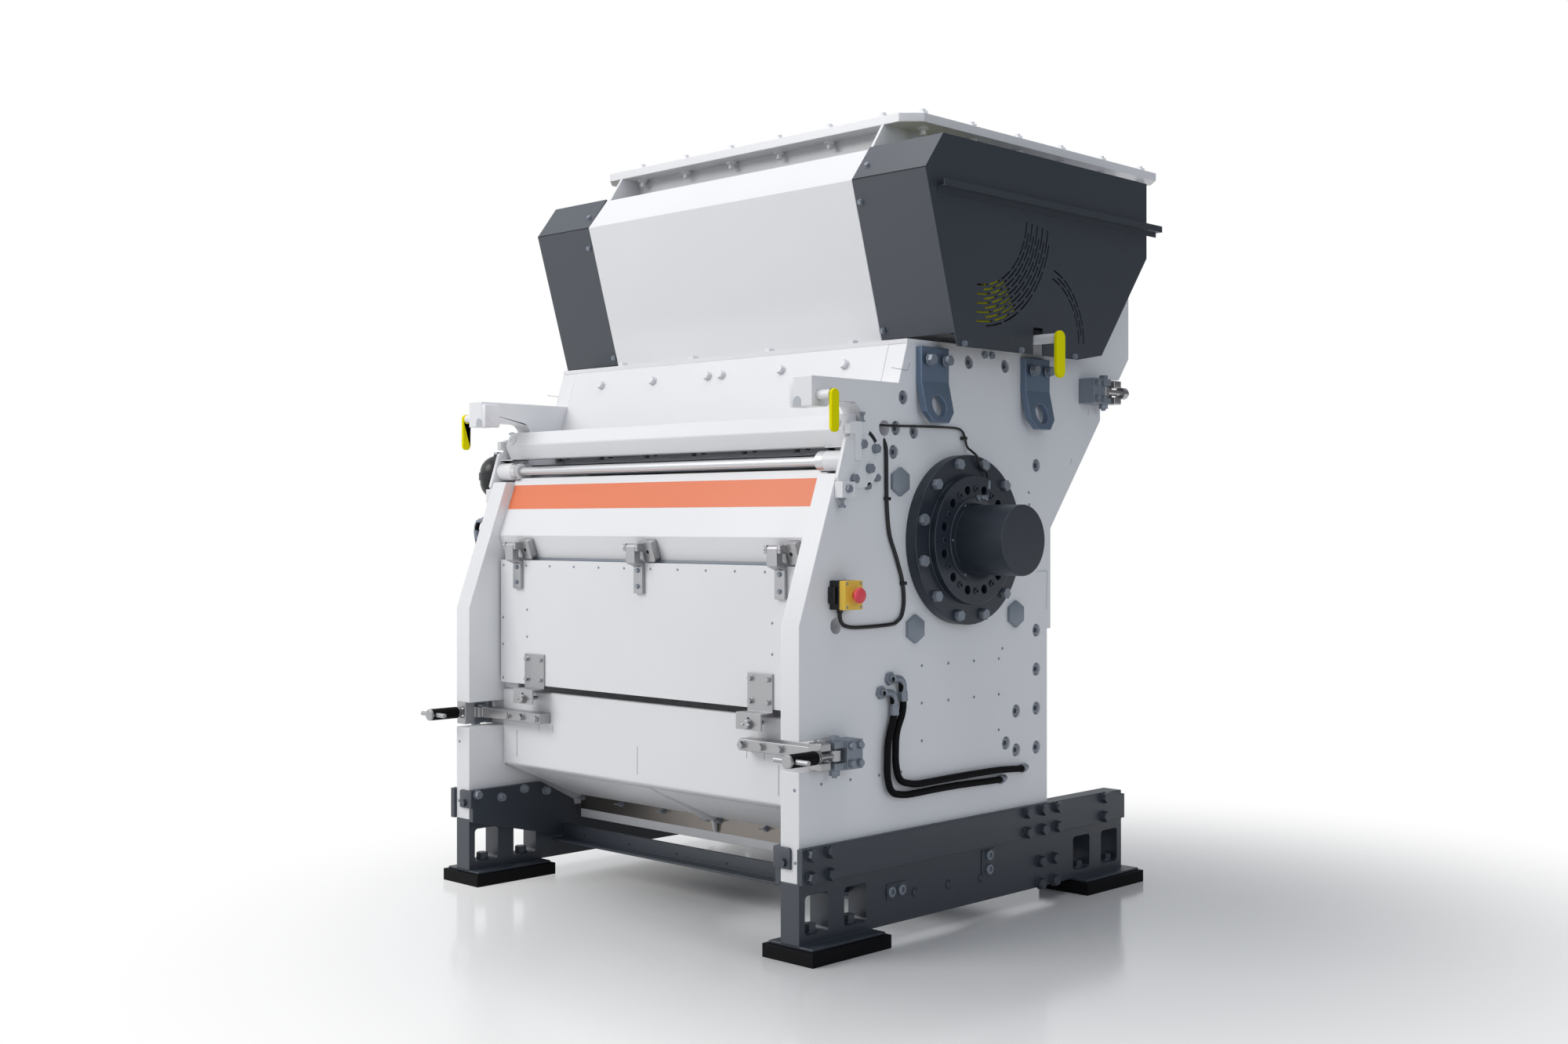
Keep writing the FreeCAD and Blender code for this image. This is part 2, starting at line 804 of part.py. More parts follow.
# Rear wall and the bent hatch above it
across("rear_wall", [
    ("rear_wall_front", "rail_top"),
    ("rear_wall_front + rear_wall_thick", "rail_top"),
    ("rear_wall_front + rear_wall_thick", "rear_knee"),
    ("rear_wall_front", "rear_knee"),
])
across("rear_hatch", [
    ("rear_wall_front + rear_wall_thick", "rear_knee"),
    ("hatch_one", "hatch_one_height"),
    ("hatch_two", "hatch_two_height"),
    ("hatch_end", "hatch_end_height"),
    ("hatch_end - hatch_thick", "hatch_end_height"),
    ("hatch_two - hatch_thick", "hatch_two_height"),
    ("hatch_one - hatch_thick", "hatch_one_height"),
    ("rear_wall_front + rear_wall_thick - hatch_thick", "rear_knee"),
])

# Hopper: side walls, inner front wall, rear wall, front cover, sill and infeed flange
wall_outline = [
    ("cover_foot_depth + cover_thick", "deck_height + sill_thick"),
    ("cover_foot_depth + cover_thick", "cover_foot"),
    ("cover_fold + cover_thick", "cover_fold_height"),
    ("cover_top + cover_thick", "cover_top_height"),
    ("web_front", "flange_foot"),
    ("infeed_wall_back + hopper_wall", "flange_foot"),
    ("infeed_wall_back + hopper_wall", "flare_top"),
    ("tower_wall + hopper_wall", "flare_foot"),
    ("tower_wall + hopper_wall", "tower_wall_foot"),
    ("hatch_end", "hatch_end_height"),
    ("hatch_end - hatch_thick", "hatch_end_height"),
    ("hatch_end - 1.5 * hatch_thick", "deck_height + sill_thick"),
]
for word, side in SIDES.items():
    node(side_prism(side, "hopper_wall_" + word, wall_outline, "hopper_half - hopper_wall", "hopper_wall"),
         "hopper_wall_" + word)
hopper_inner = "hopper_half - hopper_wall"
across("hopper_front_wall", [
    ("infeed_wall", "deck_height + sill_thick"),
    ("infeed_wall + hopper_wall", "deck_height + sill_thick"),
    ("infeed_wall + hopper_wall", "flange_foot"),
    ("infeed_wall", "flange_foot"),
], hopper_inner)
across("hopper_rear_wall", [
    ("hatch_end", "hatch_end_height"),
    ("tower_wall + hopper_wall", "tower_wall_foot"),
    ("tower_wall + hopper_wall", "flare_foot"),
    ("infeed_wall_back + hopper_wall", "flare_top"),
    ("infeed_wall_back + hopper_wall", "flange_foot"),
    ("infeed_wall_back", "flange_foot"),
    ("infeed_wall_back", "flare_top"),
    ("tower_wall", "flare_foot"),
    ("tower_wall", "tower_wall_foot"),
    ("hatch_end - hatch_thick", "hatch_end_height"),
], hopper_inner)
across("front_cover", [
    ("cover_foot_depth", "cover_foot"),
    ("cover_fold", "cover_fold_height"),
    ("cover_top", "cover_top_height"),
    ("cover_top + cover_thick", "cover_top_height"),
    ("cover_fold + cover_thick", "cover_fold_height"),
    ("cover_foot_depth + cover_thick", "cover_foot"),
], "hopper_half")
sill_front = box("SillFront", "-plate_outer", "shoulder_top", "deck_height", "2 * plate_outer",
                 "sill_back - shoulder_top", "sill_thick")
sills = [sill_front]
for side in SIDES.values():
    sills.append(side_box(side, "SillSide", hopper_inner, "sill_back", "deck_height",
                          "plate_outer - hopper_half + hopper_wall", "tower_front - sill_back", "sill_thick"))
for side in SIDES.values():
    block = side_box(side, "Block", plate_inner + " + lock_block_inset", "lock_depth - lock_block_long / 2",
                     "deck_height", "plate_thick - 2 * lock_block_inset", "lock_block_long",
                     "lock_height + lock_block_over - deck_height")
    bore = side_rod(side, "Bore", plate_inner, "lock_depth", "lock_height", "lock_radius + lock_fit", "plate_thick")
    sills.append(cut("LockBlock", block, bore))
node(fuse("hopper_sill", sills), "hopper_sill")

corner = "infeed_corner"
opening = [("-(%s)" % hopper_inner, "infeed_wall + hopper_wall"), (hopper_inner, "infeed_wall + hopper_wall"),
           (hopper_inner, "infeed_wall_back"), ("-(%s)" % hopper_inner, "infeed_wall_back")]
infeed = prism("infeed_flange", "XY", [
    ("-(infeed_half - %s)" % corner, "infeed_front"),
    ("infeed_half - " + corner, "infeed_front"),
    ("infeed_half", "infeed_front + " + corner),
    ("infeed_half", "infeed_back - " + corner),
    ("infeed_half - " + corner, "infeed_back"),
    ("-(infeed_half - %s)" % corner, "infeed_back"),
    ("-infeed_half", "infeed_back - " + corner),
    ("-infeed_half", "infeed_front + " + corner),
], "flange_foot", "infeed_thick", (), [opening])
node(infeed, "infeed_flange")


# Side guards: a slotted side sheet, a leaning front and a bevelled top front
def ring_slots(side, centre, height, first, rings, dashes, low, sweep):
    inner_face = "guard_outer - 2 * guard_sheet"
    depth = number("3 * guard_sheet")
    begin = number(inner_face) if side > 0 else -number(inner_face) - depth
    half = number("slot_wide") / 2
    pitch = number(sweep) / dashes
    slots = []

    def spot(radius, angle):
        turn = math.radians(angle)
        return Vector(begin, number(centre) + radius * math.cos(turn), number(height) + radius * math.sin(turn))

    for ring in range(rings):
        radius = number("%s + %d * slot_step" % (first, ring))
        for dash in range(dashes - ring % 2):
            start = low + pitch * (dash + 0.5 * (ring % 2))
            end = start + 0.86 * pitch
            middle = (start + end) / 2
            near, far = radius - half, radius + half
            edges = [Part.Arc(spot(near, start), spot(near, middle), spot(near, end)).toShape(),
                     Part.LineSegment(spot(near, end), spot(far, end)).toShape(),
                     Part.Arc(spot(far, end), spot(far, middle), spot(far, start)).toShape(),
                     Part.LineSegment(spot(far, start), spot(near, start)).toShape()]
            slot = doc.addObject("Part::Feature", "Slot")
            slot.Shape = Part.Face(Part.Wire(edges)).extrude(Vector(depth, 0, 0))
            slots.append(slot)
    return slots


levers = []
for word, side in SIDES.items():
    face = side_prism(side, "GuardSide", [
        ("guard_foot_depth", "guard_foot"),
        ("cover_fold", "cover_fold_height"),
        ("cover_top", "guard_top"),
        ("guard_back", "guard_top"),
        ("guard_back", "guard_rear_knee"),
        ("guard_rear_foot", "guard_rear_foot_height"),
        ("guard_foot_end", "guard_foot"),
    ], "guard_outer - guard_sheet", "guard_sheet")
    front = side_prism(side, "GuardFront", [
        ("cover_foot_depth", "guard_front_foot"),
        ("cover_fold", "cover_fold_height"),
        ("cover_top", "guard_top"),
        ("cover_top + guard_sheet", "guard_top - guard_sheet"),
        ("cover_fold + guard_sheet", "cover_fold_height"),
        ("cover_foot_depth + guard_sheet", "guard_front_foot"),
    ], "hopper_half", "guard_outer - hopper_half")
    slots = ring_slots(side, "slot_centre", "slot_centre_height", "slot_first", 10, 6, -92, "slot_sweep")
    slots += ring_slots(side, "rear_slot_centre", "rear_slot_height", "rear_slot_first", 3, 5, 0, "rear_slot_sweep")
    pocket = side_box(side, "LockCut", "guard_outer - 2 * guard_sheet", "lock_depth - lock_cut_half",
                      "guard_foot - 1", "3 * guard_sheet", "2 * lock_cut_half",
                      "lock_height + lock_cut_over - guard_foot + 1")
    sheet_a = side_box(side, "DripFoot", "guard_outer", "drip_front", "drip_foot", "drip_thick",
                       "drip_back - drip_front", "drip_high / 2")
    shelf = "drip_foot + drip_high / 2 - drip_thick"
    sheet_b = side_box(side, "DripShelf", "guard_outer", "drip_front", shelf, "drip_proud",
                       "drip_back - drip_front", "drip_thick")
    sheet_c = side_box(side, "DripLip", "guard_outer + drip_proud - drip_thick", "drip_front", shelf,
                       "drip_thick", "drip_back - drip_front", "drip_high / 2 + drip_thick")
    shell = fuse("GuardShell", [face, front, sheet_a, sheet_b, sheet_c])
    name = "side_guard_" + word
    node(cut(name, shell, group("GuardTools", slots + [pocket])), name)

    # Yellow swing lever behind the slots, on a hub from the hopper wall
    plate_x = "guard_outer - guard_sheet - lever_gap - lever_thick"
    centre = ("slot_centre", "slot_centre_height")
    rim = side_rod(side, "Rim", plate_x, *centre, "lever_outer", "lever_thick")
    hole = side_rod(side, "Hole", plate_x + " - 1", *centre, "lever_inner", "lever_thick + 2")
    sector = side_prism(side, "Sector", [
        ("slot_centre", "slot_centre_height"),
        ("slot_centre - lever_rim_front", "slot_centre_height - lever_rim_foot"),
        ("slot_centre + lever_rim_back", "slot_centre_height - lever_rim_foot"),
    ], plate_x + " - 1", "lever_thick + 2")
    crescent = doc.addObject("Part::Common", "Crescent")
    crescent.Base = cut("RimRing", rim, hole)
    crescent.Tool = sector
    spoke = side_prism(side, "Spoke", [
        ("slot_centre - lever_hub / 2", "slot_centre_height"),
        ("slot_centre + spoke_front", "slot_centre_height - spoke_foot"),
        ("slot_centre + spoke_back", "slot_centre_height - spoke_back_foot"),
        ("slot_centre + lever_hub / 2", "slot_centre_height"),
    ], plate_x, "lever_thick")
    hub = side_rod(side, "LeverHub", "hopper_half", *centre, "lever_hub", plate_x + " + lever_thick - hopper_half")
    levers.append(fuse("Lever", [crescent, spoke, hub]))
node(group("swing_levers", levers), "swing_levers")


# Lock pins with hanging yellow grips: one pair in the arms, one pair behind the guards
def grip_pin(name, side, start, depth, height, radius, end, half, drop):
    pin = side_rod(side, "Pin", start, depth, height, radius, "(%s) - (%s)" % (end, start))
    grip_start = "(%s) - grip_thick" % end
    top = side_rod(side, "GripTop", grip_start, depth, height, half, "grip_thick")
    middle = side_box(side, "Grip", grip_start, "(%s) - (%s)" % (depth, half), "(%s) - (%s)" % (height, drop),
                      "grip_thick", "2 * (%s)" % half, drop)
    foot = side_rod(side, "GripFoot", grip_start, depth, "(%s) - (%s)" % (height, drop), half, "grip_thick")
    node(fuse(name, [pin, top, middle, foot]), name)


for word, side in SIDES.items():
    grip_pin("arm_pin_" + word, side, plate_inner + " - arm_pin_tail", "arm_pin_depth", "arm_pin_height",
             "arm_pin_width / 2", "plate_outer + arm_pin_out", "arm_grip_half", "arm_grip_drop")
    grip_pin("guard_pin_" + word, side, plate_inner + " + 2 * lock_block_inset", "lock_depth", "lock_height",
             "lock_radius", "guard_outer + lock_out", "grip_half", "grip_drop")

# Lifting lugs, two a side, kicked out below the bolts
lugs = []
for side in SIDES.values():
    for index in range(2):
        front = "lug_front + %d * lug_pitch" % index
        profile = [("plate_outer", "lug_top"), ("plate_outer + lug_thick", "lug_top"),
                   ("plate_outer + lug_thick", "lug_bend"),
                   ("plate_outer + lug_thick + lug_kick", "lug_foot"),
                   ("plate_outer + lug_kick", "lug_foot"), ("plate_outer", "lug_bend")]
        outline = [(out(side, a), b) for a, b in profile]
        lug = prism("Lug", "XZ", outline, front, "lug_wide")
        eye = side_rod(side, "Eye", "plate_outer - 1", front + " + lug_wide / 2", "lug_hole_height", "lug_hole",
                       "lug_thick + lug_kick + 2")
        snips = [side_prism(side, "Snip", [
            (edge, "lug_foot - 1"), (edge, "lug_foot + lug_corner"),
            ("%s %s lug_corner" % (edge, sign), "lug_foot - 1")],
            "plate_outer - 1", "lug_thick + lug_kick + 2")
            for edge, sign in ((front, "+"), (front + " + lug_wide", "-"))]
        lugs.append(cut("LugCut", lug, group("LugTools", [eye] + snips)))
node(group("lifting_lugs", lugs), "lifting_lugs")


# Inspection flap: sheet, three straps on pins, two stepped latch brackets with captive studs
flap_back = "panel_front + flap_thick"
node(group("inspection_flap", [box("Flap", "-flap_half", "panel_front", "flap_foot", "2 * flap_half",
                                   "flap_thick", "flap_top - flap_foot")]), "inspection_flap")
straps = []
blocks = []
for index in range(3):
    middle = "%d * hinge_spacing" % (index - 1)
    strap = prism("Strap", "YZ", [
        ("hinge_depth - barrel_radius", "hinge_height"),
        ("hinge_depth + barrel_radius", "hinge_height"),
        ("hinge_depth + barrel_radius", "flap_top + strap_thick"),
        ("panel_front", "flap_top"),
        ("panel_front", "strap_foot"),
        ("panel_front - strap_thick", "strap_foot"),
        ("panel_front - strap_thick", "flap_top - strap_thick"),
        ("hinge_depth - barrel_radius", "flap_top"),
    ], middle + " - strap_wide / 2", "strap_wide")
    barrel = rod("Barrel", "X", middle + " - strap_wide / 2", "hinge_depth", "hinge_height", "barrel_radius",
                 "strap_wide")
    pin_hole = rod("PinHole", "X", middle + " - strap_wide", "hinge_depth", "hinge_height",
                   "hinge_pin + hinge_fit", "2 * strap_wide")
    straps.append(cut("StrapCut", fuse("StrapBody", [strap, barrel]), pin_hole))
    pieces = [rod("HingePin", "X", middle + " - strap_wide / 2 - ear_thick", "hinge_depth", "hinge_height",
                  "hinge_pin", "strap_wide + 2 * ear_thick")]
    for start in (middle + " - strap_wide / 2 - ear_gap - ear_thick", middle + " + strap_wide / 2 + ear_gap"):
        pieces.append(prism("Ear", "YZ", [
            ("hinge_depth - barrel_radius", "hinge_height - barrel_radius"),
            ("hinge_depth - barrel_radius", "hinge_height + barrel_radius"),
            ("panel_front + fold_back * (nose_height - hinge_height - barrel_radius) / (nose_height - fold_height)",
             "hinge_height + barrel_radius"),
            ("panel_front + fold_back * (nose_height - hinge_height + barrel_radius) / (nose_height - fold_height)",
             "hinge_height - barrel_radius"),
        ], start, "ear_thick"))
    blocks.append(fuse("HingeBlock", pieces))
node(group("hinge_straps", straps), "hinge_straps")
node(group("hinge_blocks", blocks), "hinge_blocks")

latches = []
for side in SIDES.values():
    middle = out(side, "latch_offset")
    lip_front = "panel_front - latch_step - latch_thick"
    bracket = prism("Latch", "YZ", [
        ("panel_front", "latch_top"),
        ("panel_front", "latch_foot"),
        (lip_front + " + latch_thick", "latch_foot"),
        (lip_front + " + latch_thick", "latch_foot - latch_lip"),
        (lip_front, "latch_foot - latch_lip"),
        (lip_front, "latch_foot + latch_thick"),
        ("panel_front - latch_thick", "latch_foot + latch_thick"),
        ("panel_front - latch_thick", "latch_top"),
    ], middle + " - latch_wide / 2", "latch_wide")
    stud_height = "latch_foot - stud_drop"
    stem = rod("Stem", "Y", middle, lip_front + " + latch_thick", stud_height, "stud_radius",
               "latch_step + lower_set - stud_gap")
    head = rod("Head", "Y", middle, lip_front + " - stud_head", stud_height, "stud_head", "stud_head")
    latches.append(fuse("LatchPair", [bracket, stem, head]))
node(group("latch_brackets", latches), "latch_brackets")


# Swing-bolt clamps: the bar is bolted to the panel, its fork reaches out past the side plate,
# and the bolt swings on an upright pin in a clevis. facing is -1 at the front and 1 at the rear.
# Adds the clevis and the bolt, and gives the pieces of the fork.
def clamp(word, side, place, height, pin_depth, fork_front, facing):
    def ahead(start, length):
        return "(%s) + (%s)" % (pin_depth, start) if facing > 0 else "(%s) - (%s) - (%s)" % (pin_depth, start, length)

    ear_long = "clevis_ear_half + clevis_gap"
    pieces = [side_box(side, "Base", "plate_outer", ahead("-(clevis_gap + clevis_long)", "clevis_long"),
                       height + " - clevis_high / 2", "clevis_proud", "clevis_long", "clevis_high")]
    for level in (height + " - clevis_high / 2", height + " + clevis_high / 2 - clevis_ear"):
        pieces.append(side_box(side, "Ear", "clamp_across - clevis_ear_half", ahead("-clevis_gap", ear_long), level,
                               "2 * clevis_ear_half", ear_long, "clevis_ear"))
    pieces.append(rod("UprightPin", "Z", out(side, "clamp_across"), pin_depth, height + " - clevis_high / 2 - 6",
                      "clamp_pin_radius", "clevis_high + 12"))
    clevises.append(fuse("Clevis", pieces))

    eye = rod("Eye", "Z", out(side, "clamp_across"), pin_depth, height + " - clevis_high / 2 + clevis_ear + eye_gap",
              "eye_radius", "clevis_high - 2 * clevis_ear - 2 * eye_gap")
    if facing < 0:
        reach = "%s - %s + sleeve_gap" % (pin_depth, fork_front)
        tail = [("sleeve_radius", "0", "sleeve_long")]
    else:
        reach = "%s + fork_long - %s + sleeve_gap" % (fork_front, pin_depth)
        tail = [("sleeve_radius", "0", "rear_nut_long"), ("bolt_radius", "rear_nut_long", "rear_tip_long")]
    pieces = [eye, rod("Bolt", "Y", out(side, "clamp_across"), ahead("0", reach), height, "bolt_radius", reach)]
    for radius, start, length in tail:
        pieces.append(rod("Tail", "Y", out(side, "clamp_across"), ahead("%s + %s" % (reach, start), length), height,
                          radius, length))
    if facing < 0:
        pieces.append(rod("Handle", "X", out(side, "clamp_across") + " - handle_half",
                          ahead(reach + " + sleeve_long - handle_inset", "0"), height, "handle_radius",
                          "2 * handle_half"))
    hole = rod("EyeHole", "Z", out(side, "clamp_across"), pin_depth, height + " - clevis_high / 2",
               "clamp_pin_radius + clamp_pin_fit", "clevis_high")
    name = "swing_bolt_%s_%s" % (place, word)
    node(cut(name, fuse("SwingBolt", pieces), hole), name)

    web = side_box(side, "ForkWeb", "plate_outer + 1", fork_front, height + " - fork_high / 2",
                   "fork_web - plate_outer - 1", "fork_long", "fork_high")
    prongs = [side_box(side, "Prong", "fork_web", fork_front, level, "fork_end - fork_web", "fork_long",
                       "(fork_high - fork_slot) / 2")
              for level in (height + " - fork_high / 2", height + " + fork_slot / 2")]
    return [web] + prongs


clevises = []
bars = []
bar_low = "clamp_height - bar_high / 2"
hatch_at = "hatch_two + (hatch_end - hatch_two) / (hatch_end_height - hatch_two_height)"
hatch_at += " * (rear_clamp_height %s bar_high / 2 - hatch_two_height)"
for word, side in SIDES.items():
    fork = clamp(word, side, "front", "clamp_height", "clamp_pin_depth", "fork_front", -1)
    bars.append(fuse("FrontBar", fork + [
        side_box(side, "Bar", "bar_inner", "bar_front", bar_low, "plate_outer - bar_inner",
                 lower_front + " - bar_front", "bar_high"),
        side_box(side, "BarEnd", "plate_outer - bar_lap", "fork_front + fork_long", bar_low,
                 "fork_web - plate_outer + bar_lap", "bar_front - fork_front - fork_long + bar_step", "bar_high"),
    ]))
    fork = clamp(word, side, "rear", "rear_clamp_height", "rear_pin_depth", "rear_fork_front", 1)
    bars.append(fuse("RearBar", fork + [
        side_prism(side, "RearBarInside", [
            (hatch_at % "-", "rear_clamp_height - bar_high / 2"),
            ("rear_fork_front + fork_long", "rear_clamp_height - bar_high / 2"),
            ("rear_fork_front + fork_long", "rear_clamp_height + bar_high / 2"),
            (hatch_at % "+", "rear_clamp_height + bar_high / 2"),
        ], "bar_inner", plate_inner + " - bar_inner"),
        side_box(side, "RearBarEnd", plate_inner, "rear_fork_front", "rear_clamp_height - bar_high / 2",
                 "fork_web - plate_outer + plate_thick", "fork_long", "bar_high"),
    ]))
node(group("clamp_clevises", clevises), "clamp_clevises")
node(group("clamp_bars", bars), "clamp_bars")

# Emergency stop on the right side plate
stop_middle = "stop_box_front + stop_box_wide / 2"
stop_centre = "stop_box_foot + stop_box_high / 2"
lid_face = "plate_outer + stop_base_deep + stop_lid_deep"
node(group("stop_base", [box("Base", "plate_outer", "stop_box_front", "stop_box_foot", "stop_base_deep",
                             "stop_box_wide", "stop_box_high")]), "stop_base")
lid = box("Lid", "plate_outer + stop_base_deep", "stop_box_front", "stop_box_foot", "stop_lid_deep",
          "stop_box_wide", "stop_box_high")
bore = rod("LidBore", "X", "plate_outer + stop_base_deep", stop_middle, stop_centre, "stop_stem + stop_stem_fit",
           "stop_lid_deep + 1")
node(cut("stop_lid", lid, bore), "stop_lid")
stem = rod("Stem", "X", lid_face + " - stop_stem_in", stop_middle, stop_centre, "stop_stem",
           "stop_stem_in + stop_button_gap")
mushroom = rod("Mushroom", "X", lid_face + " + stop_button_gap", stop_middle, stop_centre, "stop_button_radius",
               "stop_button_thick")
node(fuse("stop_button", [stem, mushroom]), "stop_button")


# Cables and hoses lie on the side plates, and stop at the plates' faces: straight runs joined by tangent arcs
def tube(name, points, width):
    radius = number(width) / 2
    corners = [Vector(*(number(text) for text in point)) for point in points]
    edges = []
    begin = corners[0]
    for i in range(1, len(corners) - 1):
        before = corners[i] - corners[i - 1]
        after = corners[i + 1] - corners[i]
        trim = 0.45 * min(before.Length, after.Length)
        turn = before.getAngle(after)
        arc_start = corners[i] - before.normalize() * trim
        arc_end = corners[i] + after.normalize() * trim
        bend = trim / math.tan(turn / 2)
        inward = (after - before).normalize()
        middle = corners[i] + inward * (math.hypot(bend, trim) - bend)
        edges.append(Part.LineSegment(begin, arc_start).toShape())
        edges.append(Part.Arc(arc_start, middle, arc_end).toShape())
        begin = arc_end
    edges.append(Part.LineSegment(begin, corners[-1]).toShape())
    path = Part.Wire(edges)
    first = (corners[1] - corners[0]).normalize()
    ring = Part.Wire([Part.Circle(corners[0], first, radius).toShape()])
    plate_face = number("plate_outer")
    reach = number("infeed_back")
    between = Part.makeBox(2 * plate_face, 2 * reach, 2 * reach, Vector(-plate_face, -reach, -reach))
    thing = doc.addObject("Part::Feature", name)
    thing.Shape = path.makePipeShell([ring], True, True).cut(between)
    return thing


cable_lay = "plate_outer + cable_width / 2 + lay_gap"
cable = [("stop_box_front + stop_box_wide / 2", "stop_box_foot - " + drop)
         for drop in ("lay_gap", "cable_drop")]
cable += [("190", "stop_box_foot - 46"), ("240", "stop_box_foot - 52"), ("375", "stop_box_foot - 50"),
          ("424", "stop_box_foot - 27"), ("436", "stop_box_foot + 17"), ("428", "stop_box_foot + 75"),
          ("372", "1150"), ("362", "1230"), ("358", "1380")]
route = [(cable_lay, y, z) for y, z in cable] + [(cable_lay, "357", "1420"), ("plate_outer", "356", "1446")]
stop_cable = tube("StopCable", route, "cable_width")
over_flange = "plate_outer + flange_thick + 1.5 * sensor_width"
sensor_cable = tube("SensorCable", [
    ("plate_outer", "340", "1452"), ("plate_outer + 8", "366", "1457"), ("plate_outer + 8", "500", "1460"),
    ("plate_outer + 8", "640", "1463"), ("plate_outer + 14", "690", "1456"), (over_flange, "718", "1416"),
    (over_flange, "740", "1370"), (over_flange, "772", "1330"), ("plate_outer + flange_thick", "772", "1330")],
    "sensor_width")
node(group("cables", [stop_cable, sensor_cable]), "cables")

# Each hydraulic hose leaves the side plate, drops, turns to the rear and goes back into the plate
hose_lay = "plate_outer + hose_width / 2 + hose_stand"
hoses = []
for drop in ([("339", "705"), ("339", "705"), ("376", "703"), ("384", "640"), ("354", "570"), ("351", "470"),
              ("368", "420"), ("430", "408"), ("640", "412"), ("880", "406")],
             [("377", "742"), ("377", "742"), ("414", "740"), ("424", "650"), ("389", "590"), ("387", "500"),
              ("404", "450"), ("470", "434"), ("700", "437"), ("880", "436"), ("990", "428")]):
    last = drop[-1]
    route = [("plate_outer",) + drop[0]] + [(hose_lay,) + spot for spot in drop[1:]]
    route.append(("plate_outer", "%s + hose_sink" % last[0], last[1]))
    hoses.append(tube("Hose", route, "hose_width"))

# Pressure tank on the left side plate, its bracket and its hose
band_end = "(plate_outer + disc_thick)"
tank = rod("Tank", "Z", "-tank_across", "tank_depth", "tank_foot", "tank_radius", "tank_high")
cap = rod("Cap", "Z", "-tank_across", "tank_depth", "tank_foot + tank_high", "tank_cap", "tank_cap_high")
band = box("Band", "-tank_across - tank_radius - tank_grip", "tank_depth - tank_radius - tank_grip",
           "tank_foot + tank_high / 2 - tank_band / 2", "tank_across + tank_radius + tank_grip - " + band_end,
           "2 * (tank_radius + tank_grip)", "tank_band")
node(fuse("pressure_tank", [tank, cap, band]), "pressure_tank")
hoses.append(tube("TankHose", [
    ("-plate_outer", "126", "1190"), ("-plate_outer - 34", "124", "1190"), ("-plate_outer - 50", "126", "1160"),
    ("-plate_outer - 52", "132", "1110"), ("-plate_outer - 48", "150", "1050"), ("-plate_outer - 30", "176", "990"),
    ("-plate_outer", "196", "955")], "oil_hose_width"))
node(group("hydraulic_hoses", hoses), "hydraulic_hoses")

doc.recompute()
for thing in doc.Objects:
    if "Invalid" in thing.State or "Error" in thing.State:
        raise RuntimeError("%s (%s) failed: %s" % (thing.Name, thing.Label, thing.State))
for thing in nodes:
    if thing.Shape.isNull() or not thing.Shape.isValid():
        raise RuntimeError("%s has no valid shape" % thing.Label)
os.makedirs("parts", exist_ok=True)
for thing in nodes:
    thing.Shape.exportStep("parts/%s.step" % thing.Label)
print("%d nodes written" % len(nodes))
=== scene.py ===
import json
import math

import bmesh
import bpy
from mathutils import Matrix, Vector


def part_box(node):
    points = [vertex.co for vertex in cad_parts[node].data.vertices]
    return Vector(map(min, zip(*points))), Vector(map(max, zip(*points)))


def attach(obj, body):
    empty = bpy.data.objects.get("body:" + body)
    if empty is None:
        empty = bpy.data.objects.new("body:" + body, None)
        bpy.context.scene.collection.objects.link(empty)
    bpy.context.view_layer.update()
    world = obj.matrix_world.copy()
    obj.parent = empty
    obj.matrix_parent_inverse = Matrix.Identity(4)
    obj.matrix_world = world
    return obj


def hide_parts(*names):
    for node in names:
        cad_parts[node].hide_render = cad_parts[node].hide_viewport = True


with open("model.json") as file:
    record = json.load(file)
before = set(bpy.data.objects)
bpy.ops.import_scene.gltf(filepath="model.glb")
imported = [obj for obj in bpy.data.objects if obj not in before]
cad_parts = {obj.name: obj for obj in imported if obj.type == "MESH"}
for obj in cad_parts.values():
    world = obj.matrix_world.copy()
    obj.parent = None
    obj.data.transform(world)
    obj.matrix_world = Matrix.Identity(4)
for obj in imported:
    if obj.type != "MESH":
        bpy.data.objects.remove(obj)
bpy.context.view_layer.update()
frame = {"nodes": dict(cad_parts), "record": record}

# Places are millimetres: across (+X), depth from the front edge of the rubber pads, height
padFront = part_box("foot_pads")[0][1]
mm = 0.001


def at(x, y, z):
    return Vector((x * mm, padFront + y * mm, z * mm))


plate = {"inner": 710, "outer": 780}
sides = {"right": 1, "left": -1}


# Colours and materials
def linear(hexColour):
    channels = [int(hexColour[i:i + 2], 16) / 255 for i in (1, 3, 5)]
    return [c / 12.92 if c <= 0.04045 else ((c + 0.055) / 1.055) ** 2.4 for c in channels] + [1.0]


def addNode(tree, kind, links=(), **settings):
    node = tree.nodes.new(kind)
    for name, value in settings.items():
        if hasattr(node, name):
            setattr(node, name, value)
        else:
            node.inputs[name.replace("_", " ")].default_value = value
    for source, target in links:
        tree.links.new(source, node.inputs[target])
    return node


